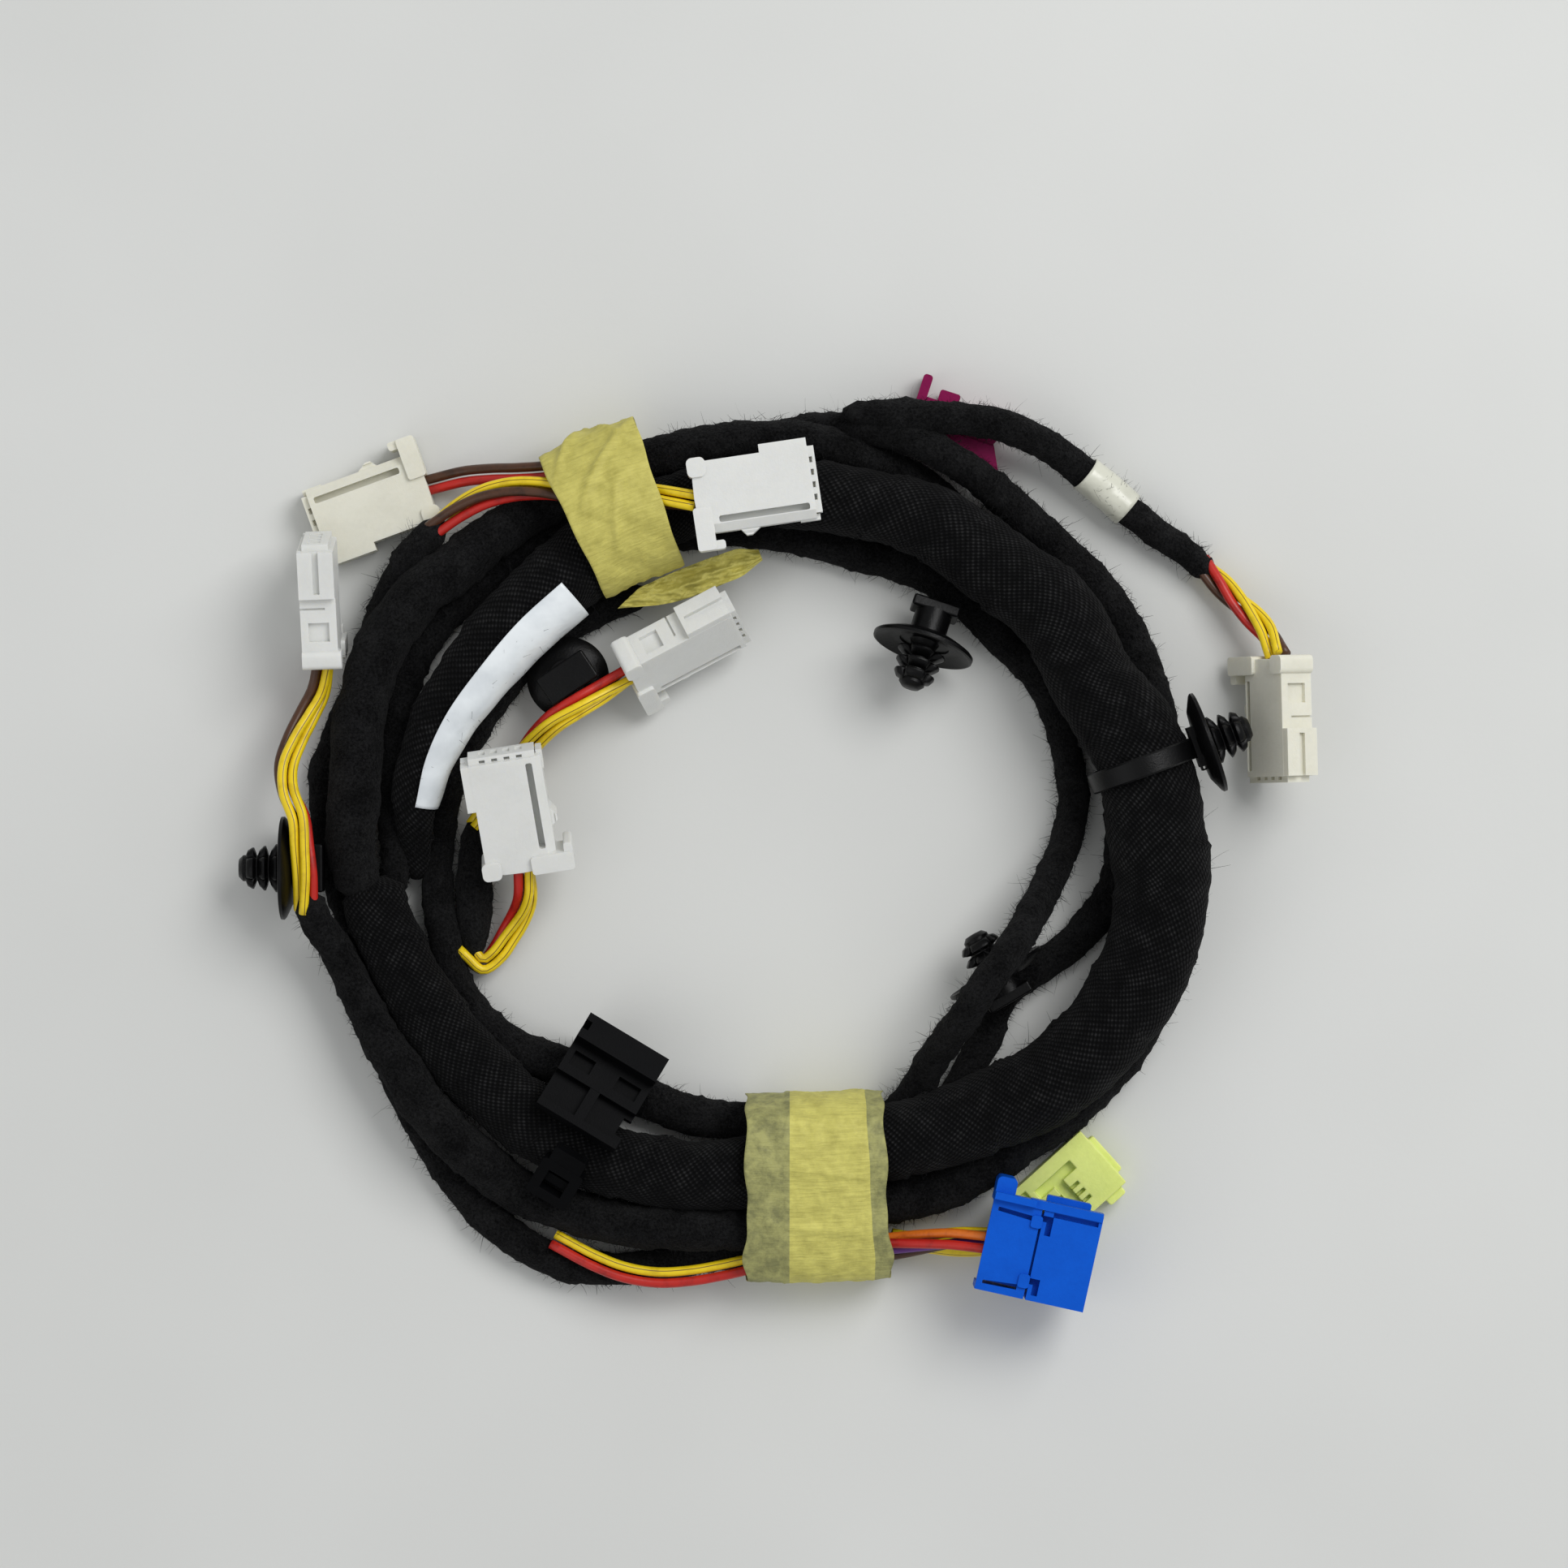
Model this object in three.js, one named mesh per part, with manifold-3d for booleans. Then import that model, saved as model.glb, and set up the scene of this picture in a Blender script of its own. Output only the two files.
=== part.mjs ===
// A vehicle wiring harness, coiled, held by two masking tape wraps and lying flat.
// Millimetres. X runs to the right, Y away from the viewer's feet and Z up.
// The coil lies on the plane z = 0, and the origin is at the bottom centre of its box.
import * as THREE from "three";
import { mergeVertices } from "three/addons/utils/BufferGeometryUtils.js";
import Module from "manifold-3d";

const wasm = await Module();
wasm.setup();

// Clearances
const GAP = 0.3;
const PRESS_GAP = 0.15;

// Wires
const WIRE_D = 1.4;
const WIRE_PITCH = 1.6;
const WIRE_STEP = 4.0;
const WIRE_SIDES = 8;
const COAX_D = 2.8;

// Taped strands
const TRUNK_SIDES = 12;
const STRAND_SIDES = 10;
const STRAND_STEP = 8;

// Masking tape
const TAPE_WALL = 0.5;

// Labels
const LABEL_WALL = 0.3;

// Housings with four ways
const HOUSING_LENGTH = 17;
const HOUSING_WIDTH = 10.4;
const HOUSING_HEIGHT = 5.2;
const COLLAR_LENGTH = 6.9;
const COLLAR_STEP = 1.2;
const NOSE_LENGTH = 0.9;
const NOSE_INSET = 0.7;
const FLANGE_THICKNESS = 2.2;
const FLANGE_LEDGE = 0.5;
const FLANGE_RISE = 0.5;
const NUB_WIDTH = 2.2;
const NUB_REACH = 0.6;
const LATCH_REACH = 2.4;
const LATCH_INNER = 3.8;
const WAYS = 4;
const WAY_PITCH = 1.8;
const WAY_SLOT = 0.9;
const WAY_DEPTH = 0.8;
const LOCK_SLOT_SHARE = 0.78;
const LOCK_SLOT_WIDTH = 1.0;
const LOCK_SLOT_DEPTH = 1.6;
const LOCK_SLOT_INSET = 1.5;
const KEY_SIZE = 1.2;
const KEY_PLACE = 0.33;

// Fir-tree clips
const DISC_D = 15;
const DISC_WALL = 0.9;
const DISC_FLAT_D = 10.5;
const DISC_DISH = 1.0;
const DISC_SEAT_STEP = 0.25;
const TREE_LENGTH = 7;
const TREE_CORE_D = 4.0;
const TREE_BARB_D = 7.0;
const TREE_BARBS = 3;
const TREE_TIP_D = 3.6;
const NECK_D = 5.4;
const PAD_WIDTH = 4.6;
const PAD_WALL = 1.4;
const CLIP_SIDES = 12;
const TIE_WIDTH = 3;
const TIE_WALL = 0.9;
const TIE_SIDES = 24;
const TIE_HEAD = 5;

// Channel clip and buckle
const CHANNEL_LENGTH = 13.2;
const CHANNEL_WIDTH = 15;
const CHANNEL_HEIGHT = 5;
const CHANNEL_WALL = 1.1;
const CHANNEL_LEG = 5.2;
const BUCKLE_SIDE = 6.6;
const BUCKLE_WINDOW = 3.4;
const BUCKLE_WALL = 1.8;

// Other connectors
const BLUE_LENGTH = 15;
const BLUE_WIDTH = 14;
const BLUE_HEIGHT = 8;
const BLUE_COVER_WALL = 1.0;
const BLUE_LIP = 1.3;
const GREEN_LENGTH = 15;
const GREEN_WIDTH = 10;
const GREEN_HEIGHT = 4.6;
const MAGENTA_LENGTH = 14.5;
const MAGENTA_WIDTH = 7;
const MAGENTA_HEIGHT = 5;
const MAGENTA_NOTCH = 1.8;

// A path whose section keeps one side level, as something that lies on a table does.
class LaidCurve extends THREE.CatmullRomCurve3 {
  constructor(points) {
    super(points, false, "centripetal");
  }

  computeFrenetFrames(segments) {
    const frames = { tangents: [], normals: [], binormals: [] };
    for (let i = 0; i <= segments; i++) {
      const frame = levelFrame(this, i / segments);
      frames.tangents.push(frame.tangent);
      frames.normals.push(frame.side);
      frames.binormals.push(frame.up);
    }
    return frames;
  }
}

function levelFrame(curve, u) {
  const tangent = curve.getTangentAt(u);
  const side = new THREE.Vector3(0, 0, 1).cross(tangent).normalize();
  const up = tangent.clone().cross(side);
  return { tangent, side, up };
}

function vectorOf(point) {
  return new THREE.Vector3(point[0], point[1], point[2]);
}

// Solids and booleans
function solidOf(geometry) {
  const bare = geometry.clone();
  bare.deleteAttribute("normal");
  bare.deleteAttribute("uv");
  const merged = mergeVertices(bare, 1e-4);
  return new wasm.Manifold(
    new wasm.Mesh({
      numProp: 3,
      vertProperties: new Float32Array(merged.attributes.position.array),
      triVerts: new Uint32Array(merged.index.array),
    }),
  );
}

function geometryOf(solid) {
  const mesh = solid.getMesh();
  const geometry = new THREE.BufferGeometry();
  geometry.setAttribute("position", new THREE.BufferAttribute(mesh.vertProperties, 3));
  geometry.setIndex(new THREE.BufferAttribute(mesh.triVerts, 1));
  geometry.computeVertexNormals();
  return geometry;
}

// The largest body of a solid, without the slivers that a cut can leave.
function largest(solid) {
  const bodies = solid.decompose();
  return bodies.reduce((a, b) => (b.volume() > a.volume() ? b : a));
}

function cutBy(solid, tools) {
  let left = solid;
  for (const tool of tools) {
    if (left.intersect(tool).volume() > 0) {
      left = left.subtract(tool);
    }
  }
  return largest(left);
}

function joined(solids) {
  return solids.reduce((a, b) => a.add(b));
}

function block(length, width, height, x, y, z) {
  const geometry = new THREE.BoxGeometry(length, width, height);
  geometry.translate(x, y, z);
  return solidOf(geometry);
}

// A block between two corners.
function blockFrom(low, high) {
  const size = high.map((v, i) => v - low[i]);
  const middle = high.map((v, i) => (v + low[i]) / 2);
  return block(...size, ...middle);
}

function plate(outline, thickness, z) {
  const shape = new THREE.Shape(outline.map(([x, y]) => new THREE.Vector2(x, y)));
  const geometry = new THREE.ExtrudeGeometry(shape, { depth: thickness, bevelEnabled: false });
  geometry.translate(0, 0, z);
  return solidOf(geometry);
}

// Puts a solid at a place. Its own x axis goes along heading, and roll turns it about that axis.
function placed(solid, place, heading, roll = 0, pitch = 0) {
  const turn = new THREE.Euler(roll, -pitch, heading, "ZYX");
  const matrix = new THREE.Matrix4().makeRotationFromEuler(turn);
  matrix.setPosition(...place);
  return solid.transform(matrix.elements);
}

// Taped strands. A route's points are x, y, z and the strand's radius there.
function ring(sides, radius) {
  const points = [];
  for (let i = 0; i < sides; i++) {
    const angle = (2 * Math.PI * i) / sides;
    points.push(new THREE.Vector2(radius * Math.cos(angle), radius * Math.sin(angle)));
  }
  return points;
}

function radiusAlong(curve, route, u) {
  const at = curve.getUtoTmapping(u) * (route.length - 1);
  const i = Math.min(Math.floor(at), route.length - 2);
  return THREE.MathUtils.lerp(route[i][3], route[i + 1][3], at - i);
}

// Sweeps a section that is drawn for a radius of 1 along a route.
function swept(route, section, step, extra = 0) {
  const curve = new LaidCurve(route.map(vectorOf));
  const steps = Math.max(2, Math.round(curve.getLength() / step));
  const geometry = new THREE.ExtrudeGeometry(section, {
    extrudePath: curve,
    steps,
    bevelEnabled: false,
  });
  const middles = curve.getSpacedPoints(steps);
  const radii = middles.map((_, i) => radiusAlong(curve, route, i / steps) + extra);
  const position = geometry.attributes.position;
  const vertex = new THREE.Vector3();
  for (let i = 0; i < position.count; i++) {
    vertex.fromBufferAttribute(position, i);
    let near = 0;
    for (let k = 1; k < middles.length; k++) {
      if (middles[k].distanceToSquared(vertex) < middles[near].distanceToSquared(vertex)) {
        near = k;
      }
    }
    vertex.sub(middles[near]).multiplyScalar(radii[near]).add(middles[near]);
    position.setXYZ(i, vertex.x, vertex.y, vertex.z);
  }
  return solidOf(geometry);
}

function strand(route, sides = STRAND_SIDES, extra = 0) {
  return swept(route, new THREE.Shape(ring(sides, 1)), STRAND_STEP, extra);
}

const TRUNK_ROUTE = [
  [-50, -2, 4, 1.8],
  [-50, 7, 7.5, 3],
  [-48.5, 13.5, 8.5, 3.8],
  [-45.5, 20, 9.5, 4.4],
  [-40.5, 27, 10, 5],
  [-35, 33.5, 10, 5.5],
  [-29, 39, 9.7, 5.7],
  [-21, 45.5, 9.3, 5.5],
  [-12, 50, 8.5, 5.2],
  [-3, 52, 8.4, 5.1],
  [7.5, 51.5, 9, 5.2],
  [17, 50, 9, 5.3],
  [25, 47.5, 9.2, 5.6],
  [34.5, 41, 9.7, 5.9],
  [43, 34, 10.5, 6],
  [48.5, 24, 11.5, 6.2],
  [53.5, 17, 13.1, 6.5],
  [56, 10, 13.8, 6.6],
  [57.3, 2, 13.4, 6.9],
  [58, -4, 12.8, 6.7],
  [57, -12, 12.5, 6.7],
  [54, -19, 11.8, 6.8],
  [48, -27, 11, 6.8],
  [40.5, -33.5, 9.8, 6.4],
  [32, -38, 9, 6],
  [25, -40.5, 8.8, 5.8],
  [12, -43.5, 8.6, 5.5],
  [1.5, -46, 8.2, 5.4],
  [-10, -47, 7.6, 5.3],
  [-17, -46, 7.2, 5.2],
  [-24, -44, 7, 5.1],
  [-30, -41, 6.8, 5],
  [-37, -36, 6.5, 4.9],
  [-43, -30, 6.2, 4.8],
  [-48.5, -23, 6, 4.7],
  [-52, -16.5, 6, 4.6],
  [-55, -10, 6, 4.5],
  [-56.2, -6, 6.2, 4.4],
];

// Up the left side, over the top, under the trunk on the right, and back to the inside.
const LONG_ROUTE = [
  [-58.3, -4.6, 7.4, 3],
  [-59.3, 0, 8, 3.4],
  [-59, 6, 8, 3.6],
  [-58.6, 11.5, 8, 3.7],
  [-58.4, 17.5, 8, 3.7],
  [-57, 23.5, 8, 3.6],
  [-55, 29.5, 8, 3.6],
  [-52, 34, 8, 3.6],
  [-48.5, 38, 7.8, 3.5],
  [-44, 41.5, 7.5, 3.5],
  [-39.5, 45.2, 7.4, 3.4],
  [-34.5, 48.5, 7.2, 3.2],
  [-29, 51.2, 7.2, 3],
  [-20.5, 55.6, 7.2, 2.9],
  [-12.5, 58, 7.3, 2.8],
  [-6.5, 59.3, 7.2, 2.8],
  [1.5, 60, 7, 2.8],
  [9, 59.3, 6.5, 2.8],
  [17, 56.8, 5, 2.7],
  [24, 53, 3, 2.6],
  [30, 48, 2.7, 2.6],
  [34, 44, 2.7, 2.6],
  [40.5, 37, 2.7, 2.6],
  [46, 29.5, 2.7, 2.6],
  [50, 20.5, 2.7, 2.6],
  [52.3, 11, 2.7, 2.6],
  [53, 2, 2.6, 2.5],
  [51.8, -5, 2.5, 2.4],
  [49, -9.5, 2.5, 2.4],
  [46.5, -12.5, 2.5, 2.4],
  [41.5, -16.5, 2.5, 2.3],
  [37, -19.5, 2.5, 2.3],
  [34.5, -22.5, 2.5, 2.3],
  [33.2, -26.5, 2.5, 2.3],
  [31.5, -30, 2.5, 2.2],
];

// Beside it on the left, outermost at the upper right, then round to the left clip.
const OUTER_ROUTE = [
  [-53.4, -5, 4.4, 2.2],
  [-53, 0, 4.2, 2.3],
  [-53.2, 6, 4, 2.3],
  [-53.2, 11.5, 4, 2.3],
  [-52.8, 17.5, 4, 2.3],
  [-51.8, 23.5, 4, 2.3],
  [-49.5, 29.3, 4, 2.3],
  [-46, 34, 4, 2.3],
  [-40.7, 39, 3.5, 2.3],
  [-35, 43, 3.2, 2.3],
  [-29, 47, 3.4, 2.3],
  [-20.5, 52.2, 3.4, 2.4],
  [-12.5, 56, 3.4, 2.4],
  [-5, 58.5, 2.7, 2.4],
  [3, 60.5, 2.6, 2.4],
  [10, 61.5, 3.6, 2.5],
  [17, 61.3, 7.2, 2.5],
  [24, 59, 8.2, 2.6],
  [30, 55.5, 7.6, 2.6],
  [36.7, 50.3, 4.8, 2.7],
  [42, 45.5, 3, 2.7],
  [47, 41, 2.8, 2.7],
  [51.3, 36, 2.8, 2.7],
  [54.6, 30, 2.8, 2.7],
  [56.6, 24.5, 2.8, 2.7],
  [58, 19, 2.8, 2.7],
  [59.5, 10, 2.9, 2.8],
  [60.2, 0, 3, 2.9],
  [60, -8.5, 3.1, 3],
  [58.3, -18, 3.2, 3.1],
  [54.5, -26.5, 3.3, 3.2],
  [48.5, -34, 3.4, 3.3],
  [43, -38.9, 3.5, 3.4],
  [37, -43, 3.6, 3.4],
  [31, -46.6, 3.6, 3.5],
  [25, -49.2, 3.7, 3.5],
  [12, -52.4, 5, 3.3],
  [1.5, -54.6, 6.5, 3.1],
  [-10, -55.6, 7, 2.9],
  [-18.5, -55.4, 6.2, 2.8],
  [-26.5, -53.6, 4.6, 2.7],
  [-33.5, -51, 4, 2.7],
  [-39.5, -47.4, 5.5, 2.7],
  [-43.5, -43.6, 7, 2.6],
  [-48.4, -38.4, 7.7, 2.6],
  [-52, -32.5, 7.8, 2.6],
  [-55.8, -26, 7.8, 2.5],
  [-58.8, -19.5, 7.2, 2.5],
  [-61.6, -14, 7.6, 2.4],
  [-63.8, -10.6, 9, 2.3],
  [-65.1, -7.8, 10.4, 2.2],
];

// From the bottom wrap round the lower left to the loose wires at the upper left.
const LEFT_ROUTE = [
  [6, -57.5, 3.3, 2.3],
  [-2, -58.3, 3.2, 2.4],
  [-10, -59.5, 2.5, 2.4],
  [-18.5, -60.8, 2.5, 2.4],
  [-28, -60.4, 2.5, 2.4],
  [-33.5, -57.8, 2.5, 2.4],
  [-38.5, -54.5, 2.5, 2.4],
  [-42.5, -50.5, 2.5, 2.4],
  [-45.8, -46, 2.5, 2.4],
  [-49, -40.7, 2.5, 2.4],
  [-51.6, -35.5, 2.5, 2.4],
  [-54, -29.5, 2.5, 2.4],
  [-56, -22.5, 2.5, 2.4],
  [-58, -15.5, 2.5, 2.4],
  [-60, -8.5, 2.5, 2.4],
  [-62, -1.3, 2.5, 2.4],
  [-63.3, 6, 2.5, 2.4],
  [-63.3, 11.6, 2.5, 2.4],
  [-61.8, 15.5, 2.5, 2.4],
  [-59.7, 21, 2.6, 2.4],
  [-56.9, 27, 3, 2.4],
  [-55.5, 33, 3.6, 2.4],
  [-53.4, 38.5, 4.6, 2.4],
  [-50.5, 43, 6.4, 2.4],
  [-47.3, 46.4, 8, 2.2],
];

// Round the inside of the coil, from the top wrap to the top wrap.
const INNER_ROUTE = [
  [-18, 37, 2.6, 2],
  [-22, 35.6, 2.4, 2.1],
  [-26.5, 33.5, 2.4, 2.2],
  [-31, 30.5, 2.4, 2.2],
  [-36, 25.5, 2.4, 2.2],
  [-40.3, 19.5, 2.4, 2.2],
  [-44, 12.8, 2.4, 2.1],
  [-46, 6.5, 2.6, 2.1],
  [-46.6, 0, 2.8, 2.1],
  [-47, -6, 3, 2.3],
  [-46, -12, 2.9, 2.5],
  [-44.8, -19, 2.8, 2.7],
  [-42, -23.6, 2.9, 2.8],
  [-38.3, -27.2, 2.9, 2.8],
  [-33.5, -29.8, 2.9, 2.8],
  [-29.5, -31.1, 2.9, 2.8],
  [-23, -33.6, 2.9, 2.8],
  [-16, -36.3, 2.9, 2.8],
  [-10, -38.4, 2.9, 2.8],
  [-2.7, -39.4, 3.5, 2.6],
  [7.5, -39.4, 3.6, 2.6],
  [15, -39.4, 3.6, 2.5],
  [19.5, -38.4, 4, 2.5],
  [22.5, -34.8, 5.4, 2.4],
  [25.2, -30, 8.6, 2.4],
  [29.3, -23.8, 14.6, 2.4],
  [33, -18.2, 18.1, 2.4],
  [36.6, -13.2, 17, 2.4],
  [40.6, -6.5, 10.4, 2.4],
  [44, 0, 5.4, 2.4],
  [45.6, 6, 3, 2.4],
  [45.3, 11.6, 2.5, 2.3],
  [44.2, 17, 2.5, 2.3],
  [42.5, 22, 2.5, 2.3],
  [39.3, 26.7, 2.5, 2.3],
  [35.5, 30.5, 2.5, 2.3],
  [32, 34, 2.5, 2.3],
  [26.5, 38.7, 2.5, 2.3],
  [20.5, 41.6, 2.5, 2.3],
  [14.5, 43.2, 2.5, 2.3],
  [7.5, 45.2, 2.6, 2.3],
  [1.5, 46.3, 2.6, 2.3],
  [-4.2, 46.8, 2.5, 2.3],
  [-11.5, 46, 2.5, 2.3],
];

// Leaves the coil at the top right and carries the sleeve label.
const LABEL_BRANCH_ROUTE = [
  [14, 63.5, 8.6, 1.6],
  [19.5, 63.3, 9, 2.3],
  [25, 62.9, 8.9, 2.4],
  [31, 62.6, 8.4, 2.4],
  [36.5, 61.3, 7.6, 2.4],
  [41.5, 59, 5.8, 2.4],
  [46, 56, 4.6, 2.3],
  [50.3, 52.6, 3.8, 2.3],
  [54.5, 49, 3.2, 2.3],
  [58.5, 46, 2.8, 2.2],
  [62, 43.7, 2.5, 2.1],
  [64.7, 41.4, 2.4, 1.9],
];

const STUB_ROUTE = [
  [-41.6, -13.9, 2.9, 1.5],
  [-41.6, -11, 2.9, 2.3],
  [-41.6, -6, 2.9, 2.6],
  [-41.9, -1.5, 2.7, 2.1],
  [-42, 2.2, 2.4, 1.6],
];

// Bundles of loose wires. Each route is the middle of its bundle.
const PIGTAILS = {
  upper_left: {
    wires: ["red", "brown", "yellow_1", "yellow_2"],
    route: [
      [-46.8, 47, 8.4],
      [-43.5, 49.4, 10.2],
      [-39.5, 51.4, 11.6],
      [-35, 52.4, 12.2],
      [-31, 52.4, 12.7],
      [-26, 51.8, 13.4],
      [-20, 51.6, 14.5],
      [-16.5, 51.3, 15.2],
      [-13.2, 51, 16],
      [-10.3, 50.6, 17],
    ],
    turn: 0.5,
  },
  top_left: {
    wires: ["red", "brown"],
    route: [
      [-47.8, 53.5, 3],
      [-45.5, 54.2, 2.8],
      [-41, 54.8, 5],
      [-36, 54.8, 8.4],
      [-31, 55, 10.5],
      [-26, 55.7, 11.3],
      [-21, 57, 11.5],
    ],
    turn: 0,
  },
  left: {
    wires: ["brown", "yellow_1", "yellow_2", "red"],
    route: [
      [-63.3, 27.3, 8],
      [-63.5, 24.8, 7.4],
      [-64.8, 21.5, 7.4],
      [-67.2, 16.5, 9.2],
      [-68.6, 11, 11],
      [-67.4, 7, 12.3],
      [-66, 3.4, 12.7],
      [-66, 0, 12.7],
      [-65.6, -3.6, 12.4],
      [-65.6, -7.2, 11],
    ],
    turn: 0.4,
  },
  centre: {
    wires: ["red", "yellow_1", "yellow_2", "brown"],
    route: [
      [-34.2, -2.9, 8.5],
      [-34, -4.9, 7.7],
      [-34.4, -8, 5.2],
      [-36, -11.2, 3.2],
      [-37.8, -14, 2.6],
      [-39.4, -16.3, 2.4],
    ],
    turn: 0.3,
  },
  middle_top: {
    wires: ["red", "yellow_1", "yellow_2", "brown"],
    route: [
      [-19.9, 25.2, 7.8],
      [-21.7, 24.2, 7.8],
      [-24.2, 22.2, 9.2],
      [-28, 20.2, 9.2],
      [-31.5, 17.4, 7.2],
      [-34.4, 14, 4.4],
      [-36.4, 10.6, 2.6],
      [-38.4, 7.4, 2.3],
      [-40.6, 4.4, 2.3],
    ],
    turn: 0.4,
  },
  right: {
    wires: ["brown", "red", "yellow_1", "yellow_2"],
    route: [
      [65.1, 41, 2.5],
      [67.8, 38.2, 3.4],
      [70.6, 35.2, 4.5],
      [73, 32.7, 5.6],
      [74.4, 30.6, 7],
      [74.7, 29.4, 7.7],
    ],
    turn: 0.6,
  },
  blue: {
    wires: ["brown", "violet", "red", "yellow", "orange"],
    route: [
      [6.8, -56.8, 9.6],
      [12, -57.7, 7.6],
      [17, -57.4, 6.4],
      [21.5, -56.8, 6.6],
      [26, -56.2, 7.8],
      [29, -55.9, 9.2],
      [32.4, -56, 10.3],
    ],
    turn: 0.3,
  },
  bottom: {
    wires: ["red", "yellow"],
    route: [
      [-28.8, -57, 5.4],
      [-25, -59, 6],
      [-21, -60.7, 6.4],
      [-16, -61.8, 6.4],
      [-10, -61.6, 6.4],
      [-4.5, -60.6, 6.5],
      [0, -59.6, 6.7],
      [4.5, -59, 6.9],
    ],
    turn: 0,
  },
};

const MAGENTA_LEAD_ROUTE = [
  [21.5, 63.4, 2.2],
  [18, 64.8, 2],
  [15.2, 65.4, 2.6],
  [12.4, 65, 4],
];

const GREEN_LEAD_ROUTE = [
  [38.4, -54.8, 2.2],
  [36.2, -56.4, 2],
  [33, -57.6, 1.9],
  [29, -57.8, 1.9],
  [24.5, -57.3, 2],
  [20.5, -56.6, 2.4],
];

// Where each wire runs beside the middle of its bundle, in pitches.
const BUNDLE_PLACES = {
  2: [[-0.5, 0], [0.5, 0]],
  4: [[-0.5, 0.5], [0.5, 0.5], [0.5, -0.5], [-0.5, -0.5]],
  5: [[-1, 0.5], [0, 0.5], [1, 0.5], [-0.5, -0.5], [0.5, -0.5]],
};

function round(route, diameter, step) {
  const sized = route.map((point) => [...point, diameter / 2]);
  return swept(sized, new THREE.Shape(ring(WIRE_SIDES, 1)), step);
}

function wiresOf(pigtail) {
  const middle = new LaidCurve(pigtail.route.map(vectorOf));
  const count = pigtail.route.length;
  return BUNDLE_PLACES[pigtail.wires.length].map(([across, above]) => {
    const route = [];
    for (let i = 0; i < count; i++) {
      const u = i / (count - 1);
      const { side, up } = levelFrame(middle, u);
      const twist = 2 * Math.PI * pigtail.turn * u;
      const a = WIRE_PITCH * (across * Math.cos(twist) - above * Math.sin(twist));
      const b = WIRE_PITCH * (across * Math.sin(twist) + above * Math.cos(twist));
      const point = middle.getPointAt(u).addScaledVector(side, a).addScaledVector(up, b);
      route.push(point.toArray());
    }
    return round(route, WIRE_D, WIRE_STEP);
  });
}

// Masking tape wraps. Each outline is the inside of the wrap, across the coil and up.
const TOP_WRAP_ROUTE = [
  [-26.6, 45.8, 0],
  [-20, 49, 0],
  [-14.2, 51, 0],
];
const TOP_WRAP_OUTLINE = [
  [-10, 9.5],
  [-9, 13],
  [-4, 17],
  [0, 18],
  [4, 17.8],
  [8.8, 15],
  [12, 11.5],
  [12.2, 8],
  [9.8, 3.5],
  [6, 0.9],
  [2, 0.55],
  [-4, 1.6],
  [-8, 4.8],
];
const BOTTOM_WRAP_ROUTE = [
  [-2, -48.9, 0],
  [8, -48.9, 0],
  [18.4, -48.4, 0],
];
const BOTTOM_WRAP_OUTLINE = [
  [-13.1, 4.5],
  [-12.8, 8.8],
  [-8, 12.2],
  [0, 14.2],
  [5, 15.4],
  [10, 14.8],
  [13.2, 9],
  [13.2, 3.6],
  [10.5, 0.6],
  [-10.5, 0.6],
  [-12.4, 1.6],
];
const TAIL_OUTLINE = [
  [-20.6, 35.2],
  [-17.5, 38.2],
  [-11.2, 41],
  [-5, 43.2],
  [-0.2, 43.8],
  [0.4, 42.2],
  [-4.2, 39.3],
  [-12.5, 36.1],
];
const TAIL_HEIGHT = 8.6;

// The same outline, with each corner moved out by the wall.
function grown(outline, wall) {
  const count = outline.length;
  return outline.map(([x, y], i) => {
    const [xa, ya] = outline[(i + count - 1) % count];
    const [xb, yb] = outline[(i + 1) % count];
    const along = new THREE.Vector2(xb - xa, yb - ya).normalize();
    return [x - wall * along.y, y + wall * along.x];
  });
}

function shapeOf(outline) {
  return new THREE.Shape(outline.map(([x, y]) => new THREE.Vector2(x, y)));
}

function wrap(route, outline) {
  const section = shapeOf(grown(outline, TAPE_WALL));
  section.holes.push(shapeOf([...outline].reverse()));
  return swept(route.map((point) => [...point, 1]), section, STRAND_STEP);
}

// A strip of label on a strand, between two angles round it. 90 degrees is the top.
function labelStrip(route, fromAngle, toAngle) {
  const inside = 1.09;
  const thin = inside + LABEL_WALL / route[Math.floor(route.length / 2)][3];
  const count = 8;
  const arc = (radius) =>
    Array.from({ length: count + 1 }, (_, i) => {
      const angle = THREE.MathUtils.degToRad(fromAngle + ((toAngle - fromAngle) * i) / count);
      return [radius * Math.cos(angle), radius * Math.sin(angle)];
    });
  return swept(route, shapeOf([...arc(thin), ...arc(inside).reverse()]), STRAND_STEP / 2);
}

function sleeve(route) {
  const inside = 1.1;
  const section = new THREE.Shape(ring(STRAND_SIDES, inside + LABEL_WALL / route[0][3]));
  section.holes.push(new THREE.Shape(ring(STRAND_SIDES, inside)));
  return swept(route, section, STRAND_STEP / 2);
}

const FLAG_LABEL_ROUTE = TRUNK_ROUTE.slice(1, 7);
const SLEEVE_LABEL_ROUTE = [
  [47.3, 55, 4.4, 2.3],
  [50.3, 52.6, 3.8, 2.3],
  [53.6, 49.8, 3.4, 2.3],
];

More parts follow.
